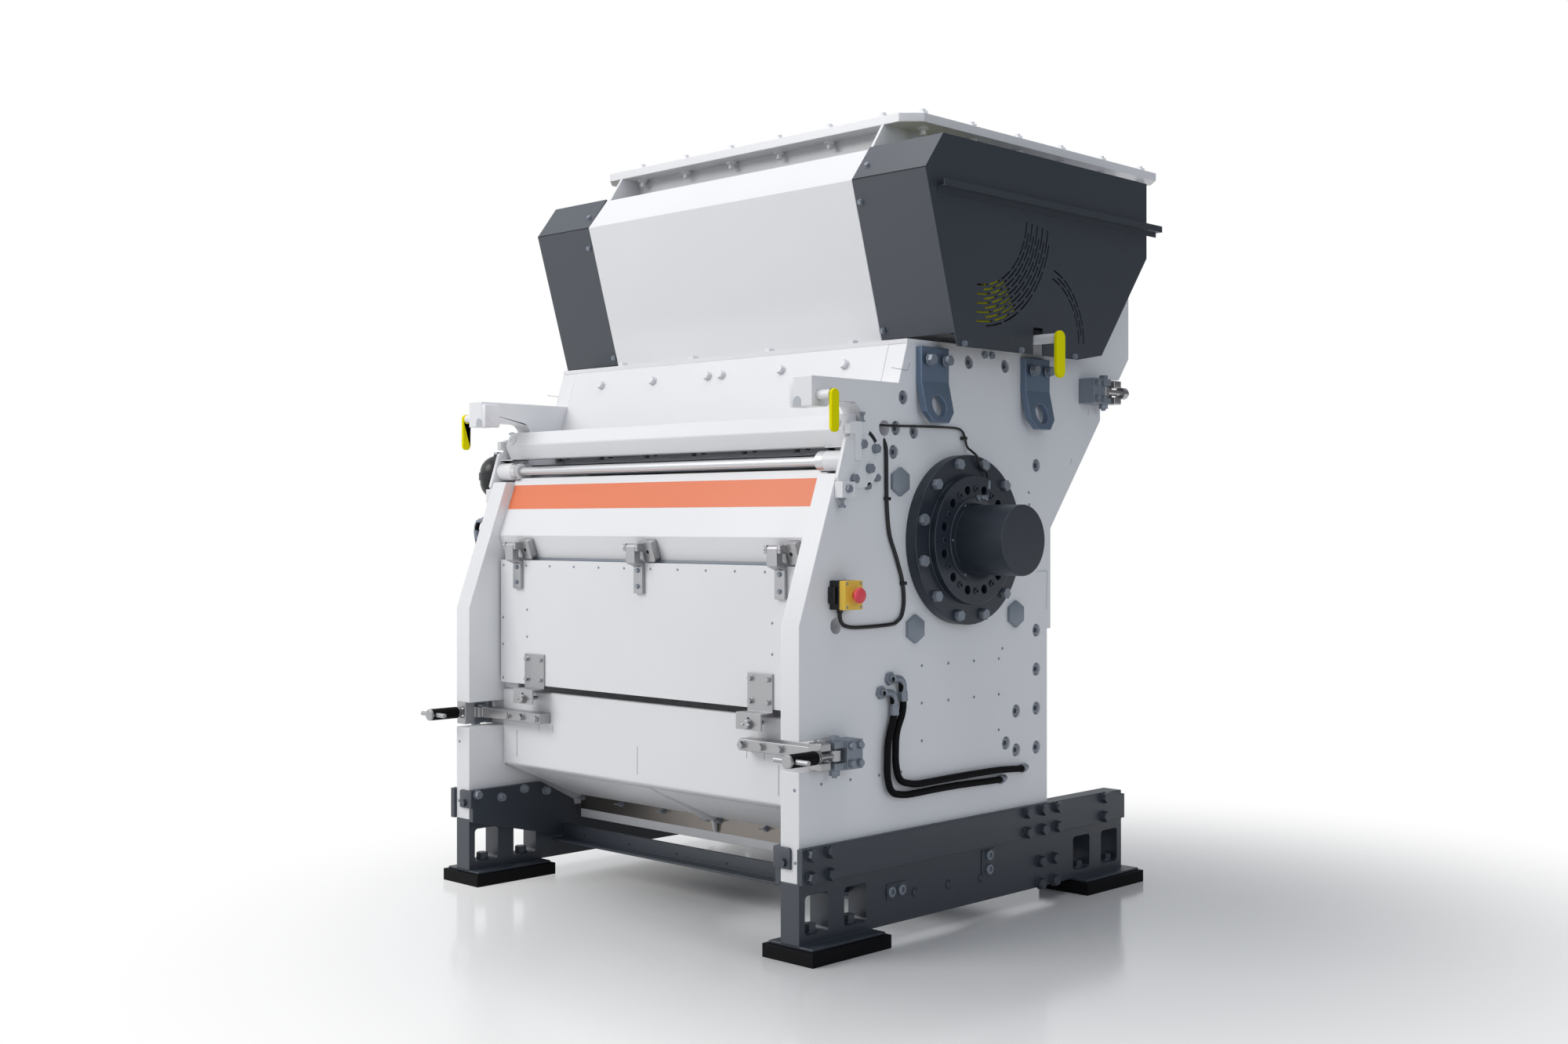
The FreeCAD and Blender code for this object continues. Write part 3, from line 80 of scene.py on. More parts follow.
# Grain and drift are the sizes of the fine relief and of the slow change of tone, in millimetres
def finishMaterial(name, hexColour, roughness, metallic=0.0, coat=0.0, grain=2.5, drift=435, relief=0.05,
                   variation=0.04, streak=(1, 1, 1), smudge=0.06, shine=0.5):
    material = bpy.data.materials.new(name)
    material.use_nodes = True
    tree = material.node_tree
    shader = tree.nodes["Principled BSDF"]
    shader.inputs["Metallic"].default_value = metallic
    shader.inputs["Coat Weight"].default_value = coat
    shader.inputs["Coat Roughness"].default_value = 0.15
    shader.inputs["Specular IOR Level"].default_value = shine
    place = addNode(tree, "ShaderNodeTexCoord")
    scaled = addNode(tree, "ShaderNodeMapping", [(place.outputs["Object"], "Vector")], Scale=streak)
    fine = addNode(tree, "ShaderNodeTexNoise", [(scaled.outputs[0], "Vector")], Scale=1 / (grain * mm), Detail=3.0)
    broad = addNode(tree, "ShaderNodeTexNoise", [(place.outputs["Object"], "Vector")], Scale=1 / (drift * mm),
                    Detail=6.0)
    tone = addNode(tree, "ShaderNodeMapRange", [(broad.outputs["Fac"], "Value")])
    tone.inputs["To Min"].default_value = 1.0 - variation
    tone.inputs["To Max"].default_value = 1.0 + variation / 2
    colour = addNode(tree, "ShaderNodeVectorMath", [(tone.outputs[0], 1)], operation="MULTIPLY")
    colour.inputs[0].default_value = linear(hexColour)[:3]
    gloss = addNode(tree, "ShaderNodeMapRange", [(broad.outputs["Fac"], "Value")])
    gloss.inputs["To Min"].default_value = roughness + smudge
    gloss.inputs["To Max"].default_value = max(roughness - smudge, 0.03)
    bump = addNode(tree, "ShaderNodeBump", [(fine.outputs["Fac"], "Height")], Strength=relief, Distance=0.0004)
    tree.links.new(colour.outputs[0], shader.inputs["Base Color"])
    tree.links.new(gloss.outputs[0], shader.inputs["Roughness"])
    tree.links.new(bump.outputs[0], shader.inputs["Normal"])
    return material


# Enamel sprayed on steel: even and half-matt, with the faint orange peel of a thick coat
whitePaint = finishMaterial("White enamel", "#EDEDEF", 0.36, coat=0.12, grain=1.4, relief=0.04)
slatePaint = finishMaterial("Slate enamel", "#29323D", 0.44, grain=1.2, relief=0.05, shine=0.8)
orangePaint = finishMaterial("Orange enamel", "#E8794B", 0.4, grain=1.2, relief=0.03, variation=0.02)
yellowPaint = finishMaterial("Yellow enamel", "#F0E800", 0.45, grain=1.2, relief=0.03, shine=0.06)
castGrey = finishMaterial("Grey enamel", "#8A929C", 0.5, metallic=0.2, grain=1.7, relief=0.08)
# A paler grey that paints the shade in the rounded notch of the arm heads
notchShadeGrey = finishMaterial("Painted notch shade", "#B9BDC3", 0.5, grain=1.7, relief=0.03)

# Turned and blackened steel: dark with a dull sheen
darkSteel = finishMaterial("Blackened steel", "#2B333E", 0.36, metallic=0.2, grain=2, relief=0.06, shine=0.6)

# Brushed stainless steel: soft reflections drawn out along the brushing
stainless = finishMaterial("Stainless steel", "#A9A9AB", 0.33, metallic=0.85, grain=3.3, relief=0.02,
                           streak=(0.05, 1, 1))
stripSteel = finishMaterial("Brushed strip", "#8B8580", 0.3, metallic=0.9, grain=5, relief=0.02,
                            streak=(1, 0.05, 0.05))

# Zinc plating: a cold grey between paint and metal, a little cloudy
zincSteel = finishMaterial("Zinc-plated steel", "#868D97", 0.4, metallic=0.4, grain=3.8, relief=0.05, variation=0.06)
lugSteel = finishMaterial("Blue zinc plate", "#728399", 0.36, metallic=0.5, grain=3.8, relief=0.05, variation=0.06)

# Ground tube: a bright metal with blurred reflections
brightSteel = finishMaterial("Ground steel tube", "#C9C9CB", 0.24, metallic=1.0, grain=11, relief=0.0, smudge=0.02,
                             variation=0.02)

# Steel worn by the material it cuts: brown-grey and scratched
wornSteel = finishMaterial("Worn steel", "#6F6C68", 0.45, metallic=0.85, grain=8.3, relief=0.3, variation=0.25)

# Moulded rubber and plastic: rubber takes almost no light, plastic keeps a soft highlight
rubber = finishMaterial("Moulded rubber", "#0A0A0C", 0.6, grain=1.1, relief=0.15, variation=0.1, shine=0.12)
blackPlastic = finishMaterial("Black polyamide", "#121315", 0.36, grain=1.1, relief=0.06, shine=0.4)
yellowPlastic = finishMaterial("Yellow polycarbonate", "#F2C94A", 0.35, grain=1.1, relief=0.04)
redPlastic = finishMaterial("Red polyamide", "#F0525E", 0.4, grain=1.1, relief=0.03, shine=0.35)

# Inside of a narrow gap: no light comes back
darkGap = finishMaterial("Shadow gap", "#15171A", 0.8, grain=1.1, relief=0.0)
materialOfSlot = {
    "white_paint": whitePaint, "slate_paint": slatePaint, "machined_dark": darkSteel, "stainless": stainless,
    "zinc_grey": zincSteel, "bright_tube": brightSteel, "rotor_steel": wornSteel, "black_rubber": rubber,
    "black_plastic": blackPlastic, "yellow_plastic": yellowPlastic, "yellow_paint": yellowPaint,
    "red_plastic": redPlastic,
}
ownFinish = {"sealing_strip": stripSteel, "lifting_lugs": lugSteel}
slotOfNode = {part["node"]: part["material_slot"] for part in frame["record"]["subparts"]}
bodyOfNode = {node: body for body, nodes in frame["record"]["behaviour"]["bodies"].items() for node in nodes}
for name, node in frame["nodes"].items():
    node.data.materials.clear()
    node.data.materials.append(ownFinish.get(name, materialOfSlot[slotOfNode[name]]))
print("materials done")


# Pieces are built with bmesh and ride on a body
def newPiece(name, bm, material, body="machine", smoothAngle=32):
    bmesh.ops.recalc_face_normals(bm, faces=bm.faces)
    mesh = bpy.data.meshes.new(name)
    bm.to_mesh(mesh)
    bm.free()
    piece = bpy.data.objects.new(name, mesh)
    bpy.context.scene.collection.objects.link(piece)
    mesh.materials.append(material)
    mesh.shade_smooth()
    mesh.set_sharp_from_angle(angle=math.radians(smoothAngle))
    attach(piece, body)
    return piece


# Flat outlines: seen from the right with their thickness along +X, or from the front with it forward
sideOutline = Matrix(((0, 0, 1), (1, 0, 0), (0, 1, 0))).to_4x4()
frontOutline = Matrix(((1, 0, 0), (0, 0, -1), (0, 1, 0))).to_4x4()


def facing(place, axis):
    turn = Vector(axis).normalized().to_track_quat("Z", "Y").to_matrix().to_4x4()
    return Matrix.Translation(place) @ turn


# A profile of (radius, height) spun round the local Z axis; six sides make a hexagon, radius 0 closes an end
def addTurned(bm, matrix, profile, sides=24, turn=0.0, closed=False):
    lathe = bmesh.new()
    spots = [lathe.verts.new((radius * mm * math.cos(turn), radius * mm * math.sin(turn), height * mm))
             for radius, height in profile]
    pairs = list(zip(spots, spots[1:])) + ([(spots[-1], spots[0])] if closed else [])
    edges = [lathe.edges.new(pair) for pair in pairs]
    bmesh.ops.spin(lathe, geom=spots + edges, axis=(0, 0, 1), angle=2 * math.pi, steps=sides, use_merge=True)
    bmesh.ops.remove_doubles(lathe, verts=lathe.verts, dist=1e-7)
    bmesh.ops.transform(lathe, matrix=matrix, verts=lathe.verts)
    mesh = bpy.data.meshes.new("turned")
    lathe.to_mesh(mesh)
    lathe.free()
    bm.from_mesh(mesh)
    bpy.data.meshes.remove(mesh)


def addRod(bm, start, end, radius, sides=20, ease=0.6, turn=0.0):
    length = (end - start).length / mm
    ease = min(ease, radius * 0.4)
    addTurned(bm, facing(start, end - start), [(0, 0), (radius - ease, 0), (radius, ease), (radius, length - ease),
                                               (radius - ease, length), (0, length)], sides, turn)


def addPlate(bm, matrix, outline, thick, ease=0.0):
    base = bm.faces.new([bm.verts.new(matrix @ Vector((x * mm, y * mm, 0))) for x, y in outline])
    made = bmesh.ops.extrude_face_region(bm, geom=[base])["geom"]
    raised = [item for item in made if isinstance(item, bmesh.types.BMVert)]
    bmesh.ops.translate(bm, verts=raised, vec=matrix.to_3x3() @ Vector((0, 0, thick * mm)))
    if ease:
        edges = list({edge for vert in list(base.verts) + raised for edge in vert.link_edges})
        bmesh.ops.bevel(bm, geom=edges, offset=ease * mm, segments=2, profile=0.5, affect="EDGES", material=-1)


# A hexagon head on a washer, with the end of its thread if stub is given
def addHexBolt(bm, place, axis, acrossFlats=30, head=15, washer=38, thick=3, stub=0, turn=0.2):
    matrix = facing(place, axis)
    if washer:
        addTurned(bm, matrix, [(0, 0), (washer / 2, 0), (washer / 2, thick * 0.7), (washer / 2 - 0.7, thick),
                               (0, thick)], 28)
    base = thick if washer else 0
    corner = acrossFlats / math.sqrt(3)
    addTurned(bm, matrix, [(0, base), (corner, base), (corner, base + head * 0.86), (corner * 0.92, base + head),
                           (0, base + head)], 6, turn)
    if stub:
        addTurned(bm, matrix, [(0, base + head), (acrossFlats * 0.29, base + head),
                               (acrossFlats * 0.29, base + head + stub - 1.5),
                               (acrossFlats * 0.23, base + head + stub), (0, base + head + stub)], 18)


def addSocketBolt(bm, place, axis, radius=15, head=14, socket=8, deep=9):
    addTurned(bm, facing(place, axis), [(0, 0), (radius, 0), (radius, head - 1), (radius - 1, head), (socket, head),
                                        (socket, head - deep), (0, head - deep)], 24)


def addButton(bm, place, axis, radius=5, rise=2.5):
    addTurned(bm, facing(place, axis), [(0, 0), (radius, 0), (radius * 0.92, rise * 0.55), (radius * 0.6, rise),
                                        (0, rise * 1.1)], 14)


def addBox(bm, low, high, ease=0.0):
    matrix = Matrix.Translation(low)
    size = (high - low) / mm
    addPlate(bm, matrix, [(0, 0), (size.x, 0), (size.x, size.y), (0, size.y)], size.z, ease)


# A round bar along a list of places
def addSweep(bm, places, radius, sides=16):
    rings = []
    count = len(places)
    for i, place in enumerate(places):
        ahead = places[min(i + 1, count - 1)] - places[max(i - 1, 0)]
        matrix = facing(place, ahead)
        if rings:
            before = rings[-1][1]
            swing = before.to_3x3().col[2].rotation_difference(matrix.to_3x3().col[2]).to_matrix().to_4x4()
            matrix = Matrix.Translation(place) @ swing @ before.to_3x3().to_4x4()
        ring = [bm.verts.new(matrix @ Vector((radius * mm * math.cos(2 * math.pi * k / sides),
                                              radius * mm * math.sin(2 * math.pi * k / sides), 0)))
                for k in range(sides)]
        rings.append((ring, matrix))
    for (low, _), (high, _) in zip(rings, rings[1:]):
        for k in range(sides):
            bm.faces.new((low[k], low[(k + 1) % sides], high[(k + 1) % sides], high[k]))
    bm.faces.new(rings[0][0][::-1])
    bm.faces.new(rings[-1][0])


def cutterFrom(bm):
    bmesh.ops.recalc_face_normals(bm, faces=bm.faces)
    mesh = bpy.data.meshes.new("cutter")
    bm.to_mesh(mesh)
    bm.free()
    cutter = bpy.data.objects.new("cutter", mesh)
    bpy.context.scene.collection.objects.link(cutter)
    return cutter


# A copy of a CAD node with eased edges, and with holes cut where cutter is given
def easeEdges(node, width, segments=2, cutter=None, joinFlats=True, sharpFrom=28):
    mesh = frame["nodes"][node].data.copy()
    bm = bmesh.new()
    bm.from_mesh(mesh)
    bmesh.ops.remove_doubles(bm, verts=bm.verts, dist=1e-5)
    if joinFlats:
        bmesh.ops.dissolve_limit(bm, angle_limit=math.radians(0.6), verts=bm.verts, edges=bm.edges)
    bm.to_mesh(mesh)
    bm.free()
    rough = bpy.data.objects.new("rough", mesh)
    bpy.context.scene.collection.objects.link(rough)
    if cutter:
        cut = rough.modifiers.new("Holes", "BOOLEAN")
        cut.operation = "DIFFERENCE"
        cut.solver = "EXACT"
        cut.object = cutter
    bevel = rough.modifiers.new("Edges", "BEVEL")
    bevel.width = width * mm
    bevel.segments = segments
    bevel.limit_method = "ANGLE"
    bevel.angle_limit = math.radians(sharpFrom)
    bevel.use_clamp_overlap = False
    weighted = rough.modifiers.new("Normals", "WEIGHTED_NORMAL")
    weighted.weight = 90
    weighted.keep_sharp = True
    mesh.shade_smooth()
    graph = bpy.context.evaluated_depsgraph_get()
    eased = bpy.data.meshes.new_from_object(rough.evaluated_get(graph))
    bpy.data.objects.remove(rough)
    if cutter:
        bpy.data.objects.remove(cutter)
    piece = bpy.data.objects.new("eased_" + node, eased)
    bpy.context.scene.collection.objects.link(piece)
    eased.materials.clear()
    eased.materials.append(ownFinish.get(node, materialOfSlot[slotOfNode[node]]))
    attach(piece, bodyOfNode[node])
    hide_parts(node)
    return piece


# Gives the faces whose middle passes the test a second finish
def paintFaces(piece, material, test):
    piece.data.materials.append(material)
    index = len(piece.data.materials) - 1
    for face in piece.data.polygons:
        if test(face.center):
            face.material_index = index


# Floor, backdrop, lights and camera
studio = {"floorSize": 60.0, "colour": "#E7E7E7", "fadeCentre": (0.75, -0.1, 0.0), "fadeFrom": 0.7, "fadeTo": 2.6,
          "brightSide": (-0.8, -0.6, 0.1), "mirrored": (0.06, 1.28)}


def makeStage():
    bm = bmesh.new()
    bmesh.ops.create_grid(bm, x_segments=1, y_segments=1, size=studio["floorSize"] / 2)
    mesh = bpy.data.meshes.new("studioFloor")
    bm.to_mesh(mesh)
    bm.free()
    floor = bpy.data.objects.new("studioFloor", mesh)
    bpy.context.scene.collection.objects.link(floor)
    material = bpy.data.materials.new("Studio floor")
    material.use_nodes = True
    tree = material.node_tree
    shader = tree.nodes["Principled BSDF"]
    shader.inputs["Base Color"].default_value = linear(studio["colour"])
    shader.inputs["Roughness"].default_value = 0.14
    shader.inputs["Specular IOR Level"].default_value = 0.6
    place = addNode(tree, "ShaderNodeTexCoord")
    reach = addNode(tree, "ShaderNodeVectorMath", [(place.outputs["Object"], 0)], operation="DISTANCE")
    reach.inputs[1].default_value = studio["fadeCentre"]
    fade = addNode(tree, "ShaderNodeMapRange", [(reach.outputs["Value"], "Value")], interpolation_type="SMOOTHSTEP")
    fade.inputs["From Min"].default_value = studio["fadeFrom"]
    fade.inputs["From Max"].default_value = studio["fadeTo"]
    path = addNode(tree, "ShaderNodeLightPath")
    seen = addNode(tree, "ShaderNodeMath", [(path.outputs["Is Camera Ray"], 0), (path.outputs["Is Glossy Ray"], 1)],
                   operation="MAXIMUM")
    amount = addNode(tree, "ShaderNodeMath", [(fade.outputs[0], 0), (seen.outputs[0], 1)], operation="MULTIPLY")
    glow = addNode(tree, "ShaderNodeEmission", Strength=1.0)
    mix = addNode(tree, "ShaderNodeMixShader", [(amount.outputs[0], 0), (shader.outputs[0], 1),
                                                (glow.outputs[0], 2)])
    tree.links.new(mix.outputs[0], tree.nodes["Material Output"].inputs["Surface"])
    mesh.materials.append(material)


def addLight(name, place, target, size, power, colour):
    data = bpy.data.lights.new(name, "AREA")
    data.shape = "RECTANGLE"
    data.size, data.size_y = size
    data.energy = power
    data.color = colour
    light = bpy.data.objects.new(name, data)
    light.location = place
    light.rotation_euler = (Vector(place) - Vector(target)).to_track_quat("Z", "Y").to_euler()
    bpy.context.scene.collection.objects.link(light)


def makeLight():
    world = bpy.data.worlds.new("Studio")
    bpy.context.scene.world = world
    world.use_nodes = True
    tree = world.node_tree
    background = tree.nodes["Background"]
    background.inputs["Color"].default_value = (0.88, 0.92, 1.0, 1)
    background.inputs["Strength"].default_value = 0.33
    backdrop = addNode(tree, "ShaderNodeBackground", Color=(1, 1, 1, 1), Strength=1.0)
    path = addNode(tree, "ShaderNodeLightPath")
    place = addNode(tree, "ShaderNodeTexCoord")
    toFront = addNode(tree, "ShaderNodeVectorMath", [(place.outputs["Generated"], 0)], operation="DOT_PRODUCT")
    toFront.inputs[1].default_value = studio["brightSide"]
    strength = addNode(tree, "ShaderNodeMapRange", [(toFront.outputs["Value"], "Value")])
    strength.inputs["From Min"].default_value = -1.0
    strength.inputs["To Min"].default_value, strength.inputs["To Max"].default_value = studio["mirrored"]
    mirrored = addNode(tree, "ShaderNodeBackground", [(strength.outputs[0], "Strength")], Color=(0.95, 0.97, 1, 1))
    glossy = addNode(tree, "ShaderNodeMixShader", [(path.outputs["Is Glossy Ray"], 0), (background.outputs[0], 1),
                                                   (mirrored.outputs[0], 2)])
    mix = addNode(tree, "ShaderNodeMixShader", [(path.outputs["Is Camera Ray"], 0), (glossy.outputs[0], 1),
                                                (backdrop.outputs[0], 2)])
    tree.links.new(mix.outputs[0], tree.nodes["World Output"].inputs["Surface"])
    addLight("keyLight", (-3.2, -6.5, 5.2), (0, 0, 1.1), (4.5, 3.5), 290, (1.0, 0.99, 0.97))
    addLight("topLight", (0.5, -0.5, 6.0), (0, 0, 1.2), (5.0, 5.0), 115, (1.0, 1.0, 1.0))
    addLight("sideLight", (7.0, -1.5, 3.0), (0, 0, 1.1), (3.5, 3.5), 54, (0.76, 0.87, 1.0))
    bpy.context.scene.view_settings.view_transform = "Standard"


view = {"across": 4024.15, "depth": -3388.53, "height": 1180, "azimuth": 44.16, "focalPixels": 2239.5,
        "imageWidth": 2000, "horizonDrop": 2}


def makeCamera():
    data = bpy.data.cameras.new("photoCamera")
    data.sensor_width = 36
    data.lens = view["focalPixels"] * 36 / view["imageWidth"]
    data.shift_y = view["horizonDrop"] / view["imageWidth"]
    camera = bpy.data.objects.new("photoCamera", data)
    camera.location = at(view["across"], view["depth"], view["height"])
    camera.rotation_euler = (math.radians(90), 0, math.radians(view["azimuth"]))
    bpy.context.scene.collection.objects.link(camera)
    bpy.context.scene.camera = camera


makeStage()
makeLight()
makeCamera()
print("stage, lights and camera done")

# Holes and counterbores of the side plates, the same on both sides
sideHoles = {
    "boreRadius": 20, "boreDeep": 24, "openRadius": 22, "openDeep": 60, "face": 780,
    "bores": [(409, 1451), (489, 1444), (400, 1383), (442, 1540), (744, 1661), (921, 1660), (1081, 1361),
              (977, 604), (925, 510), (977, 484)] + [(1081, 848 - 121.5 * row) for row in range(4)],
    "open": [(359, 1449), (157, 900)],
    "plugs": [(421, 1299), (487, 878), (966, 903)], "plugAcross": 72, "plugHigh": 12,
    "pairs": [(815, 1686), (850, 1687)],
    "screwColumns": [522.6 + 121.6 * column for column in range(4)], "screwRows": [770, 662],
    "screws": [(522.6, 553), (887, 554), (97, 473), (215, 473), (335, 473), (430, 473), (1040, 1276), (1043, 1239),
               (905, 800)],
    "seams": [[(1081, 1032), (1136, 1032), (1133, 912)], [(388, 1622), (458, 1618), (470, 1640)],
              [(1366, 1547), (1360, 1528)], [(1269, 1387), (1263, 1368)]],
    "seamWide": 1.6,
    "seat": {"inner": 700, "outer": 790, "front": 90, "back": 226, "foot": 1318, "top": 1391},
    "boss": {"from": 688, "to": 779.6, "radius": 28.5, "depth": 200, "height": 1354},
}


def addSeam(bm, side, face, line, wide):
    for (y0, z0), (y1, z1) in zip(line, line[1:]):
        addRod(bm, at(side * face, y0, z0), at(side * face, y1, z1), wide / 2, 6)


def boredPlate(side, node):
    bm = bmesh.new()
    for spots, radius, deep in ((sideHoles["bores"], sideHoles["boreRadius"], sideHoles["boreDeep"]),
                                (sideHoles["open"], sideHoles["openRadius"], sideHoles["openDeep"])):
        for y, z in spots:
            start, end = (at(side * (sideHoles["face"] + x), y, z) for x in (-deep, 6))
            addRod(bm, start, end, radius, 32, 0.01)
    seat = sideHoles["seat"]
    low, high = sorted((side * seat["inner"], side * seat["outer"]))
    addBox(bm, at(low, seat["front"], seat["foot"]), at(high, seat["back"], seat["top"]))
    easeEdges(node, 2.5, cutter=cutterFrom(bm))


def makePlateFasteners(word, side):
    face = sideHoles["face"]
    boss = bmesh.new()
    shape = sideHoles["boss"]
    start, end = (at(side * shape[word], shape["depth"], shape["height"]) for word in ("from", "to"))
    addRod(boss, start, end, shape["radius"], 48, 1.5)
    newPiece("tubeBoss_" + word, boss, whitePaint)
    bolts = bmesh.new()
    for y, z in sideHoles["bores"]:
        addSocketBolt(bolts, at(side * (face - sideHoles["boreDeep"] + 1), y, z), (side, 0, 0), 16, 17, 8)
    newPiece("plateBolts_" + word, bolts, zincSteel)
    plugs = bmesh.new()
    for y, z in sideHoles["plugs"]:
        addHexBolt(plugs, at(side * face, y, z), (side, 0, 0), sideHoles["plugAcross"], sideHoles["plugHigh"], 0,
                   turn=math.pi / 2 if side > 0 else 0)
    for y, z in sideHoles["pairs"]:
        addHexBolt(plugs, at(side * face, y, z), (side, 0, 0), 20, 8, 0)
    newPiece("platePlugs_" + word, plugs, castGrey)
    screws = bmesh.new()
    spots = [(y, z) for y in sideHoles["screwColumns"] for z in sideHoles["screwRows"]] + sideHoles["screws"]
    for y, z in spots:
        addButton(screws, at(side * face, y, z), (side, 0, 0), 4.5, 2)
    newPiece("plateScrews_" + word, screws, castGrey)
    seams = bmesh.new()
    for line in sideHoles["seams"]:
        addSeam(seams, side, face, line, sideHoles["seamWide"])
    newPiece("plateSeams_" + word, seams, castGrey)


# Eased copies of the painted plates and sheets
easeWidths = {
    "inner_plates": 1.5, "cross_beams": 1.0, "foot_pads": 1.5, "front_door": 2.0, "discharge_chute": 1.5,
    "top_beam": 5.0, "shoulder_panel": 1.5, "rear_wall": 2.0, "rear_hatch": 2.0, "infeed_flange": 2.0,
    "chute_bar": 1.5, "front_cover": 2.5, "inspection_flap": 1.5, "lifting_lugs": 2.0, "clamp_clevises": 1.5,
    "clamp_bars": 3.0,
    "pivot_disc_right": 2.0, "pivot_disc_left": 2.0, "stop_base": 2.0, "stop_lid": 3.0, "anvil_beam": 2.0,
    "base_side_right": 2.0, "base_side_left": 2.0, "hinge_blocks": 1.5, "hinge_straps": 1.0,
    "latch_brackets": 1.5, "base_rails": 2.0, "lower_panel": 7.0,
}
bentNodes = {"lifting_lugs": 12}
for node, width in easeWidths.items():
    easeEdges(node, width, sharpFrom=bentNodes.get(node, 28))
for word, side in sides.items():
    boredPlate(side, "side_plate_" + word)
    makePlateFasteners(word, side)
print("eased plates done")

# Rotor with dark turned shaft ends
shaft = {"from": 781, "ease": 3.0}
rotorPiece = easeEdges("rotor", shaft["ease"])
paintFaces(rotorPiece, darkSteel, lambda centre: abs(centre.x) > shaft["from"] * mm)

# Lock pins: yellow grips on white pins
grips = {"arm": 828, "guard": 948}
for word, side in sides.items():
    for place, start in (("arm", grips["arm"]), ("guard", grips["guard"])):
        pinPiece = easeEdges("%s_pin_%s" % (place, word), 2.5)
        paintFaces(pinPiece, whitePaint, lambda centre, start=start: abs(centre.x) < start * mm)


# Orange stripe on the leaning door panel
stripe = {"low": 1228, "high": 1307, "lean": 0.3586, "noseDepth": 131, "noseHeight": 1141, "half": 704,
          "thick": 0.5}


def makeStripe():
    bm = bmesh.new()
    up = Vector((0, stripe["lean"], 1)).normalized()
    turn = Matrix((Vector((1, 0, 0)), up, Vector((1, 0, 0)).cross(up))).transposed().to_4x4()
    foot = at(-stripe["half"], stripe["noseDepth"] + stripe["lean"] * (stripe["low"] - stripe["noseHeight"]),
              stripe["low"])
    wide = 2 * stripe["half"]
    tall = (stripe["high"] - stripe["low"]) / up.z
    addPlate(bm, Matrix.Translation(foot) @ turn, [(0, 0), (wide, 0), (wide, tall), (0, tall)], stripe["thick"])
    newPiece("doorStripe", bm, orangePaint)


makeStripe()

# Base frame: bolts on the rails and webs, plates welded over the seams, foot bolts in the windows
base = {
    "railFace": 800, "webFace": 780, "across": 30, "head": 15, "railColumns": [34, 109, 1003, 1083, 1160, 1419],
    "railRows": [291, 230], "webColumns": [1097, 1171], "webRows": [127, 58],
    "buttons": [(493, 120), (647, 120), (802, 117)], "buttonRadius": 14, "buttonHigh": 6,
    "sockets": [(382, 139), (427, 139), (834, 182), (834, 139)], "socketRadius": 15,
    "tacks": [(367, 452, 114, 162), (801, 866, 116, 200)], "tackThick": 2.5,
    "footBolts": [(87, 745), (245, 745), (1345, 745), (1509, 745)], "sill": 71, "footAcross": 34,
    "innerFace": 690, "innerBolts": [(28, 294), (123, 276), (216, 294), (309, 278)],
    "frontScrews": [(763, 464), (766, 269)], "postFront": 10,
    "tab": [(690, 250), (753, 250), (753, 303), (748, 308), (690, 308)], "tabFront": 3, "tabThick": 7,
    "tabBolt": (728, 266),
}


def makeBaseFasteners(word, side):
    bm = bmesh.new()
    for y in base["railColumns"]:
        for z in base["railRows"]:
            addHexBolt(bm, at(side * base["railFace"], y, z), (side, 0, 0), base["across"], base["head"])
    for y in base["webColumns"]:
        for z in base["webRows"]:
            addHexBolt(bm, at(side * base["webFace"], y, z), (side, 0, 0), base["across"], base["head"])
    for y, z in base["buttons"]:
        addButton(bm, at(side * base["webFace"], y, z), (side, 0, 0), base["buttonRadius"], base["buttonHigh"])
    for y, x in base["footBolts"]:
        addHexBolt(bm, at(side * x, y, base["sill"]), (0, 0, 1), base["footAcross"], 18, 44, 4)
    for low, high, foot, top in base["tacks"]:
        face = side * base["webFace"]
        ends = sorted((face, face + side * base["tackThick"]))
        addBox(bm, at(ends[0], low, foot), at(ends[1], high, top), 1.0)
    turn = Matrix((Vector((side, 0, 0)), Vector((0, 0, 1)), Vector((0, -side, 0)))).transposed().to_4x4()
    foot = base["tabFront"] + (base["tabThick"] if side > 0 else 0)
    addPlate(bm, Matrix.Translation(at(0, foot, 0)) @ turn, base["tab"], base["tabThick"], 0.8)
    x, z = base["tabBolt"]
    addHexBolt(bm, at(side * x, base["tabFront"], z), (0, -1, 0), 22, 9, 0)
    newPiece("baseBolts_" + word, bm, slatePaint)
    bright = bmesh.new()
    for y, z in base["sockets"]:
        start = base["webFace"] + base["tackThick"]
        addSocketBolt(bright, at(side * start, y, z), (side, 0, 0), base["socketRadius"], 8, 8, 5)
    for y, z in base["innerBolts"]:
        addHexBolt(bright, at(side * base["innerFace"], y, z), (-side, 0, 0), 24, 12, 30)
    for x, z in base["frontScrews"]:
        addButton(bright, at(side * x, base["postFront"], z), (0, -1, 0), 5, 2)
    newPiece("baseScrews_" + word, bright, zincSteel)


# Bearing flange: bolt circle, ring of holes with small bolts between, and a hub round the shaft
bearing = {
    "depth": 700, "height": 1132, "flangeFace": 818, "ringFace": 840, "boltCircle": 228, "bolts": 12,
    "holeCircle": 150, "holeRadius": 13, "holeDeep": 34, "sideHoleRadius": 6, "sideHoleCircle": 230,
    "across": 30, "recessIn": 120, "recessOut": 176, "recessDeep": 3, "hubOut": 126, "hubIn": 104.4, "hubHigh": 8,
    "hubScrews": 6, "hubCircle": 115, "smallCircle": 150, "smallRadius": 10,
}


def aroundShaft(side, x, circle, degrees):
    turn = math.radians(degrees)
    return at(side * x, bearing["depth"] + circle * math.cos(turn), bearing["height"] + circle * math.sin(turn))


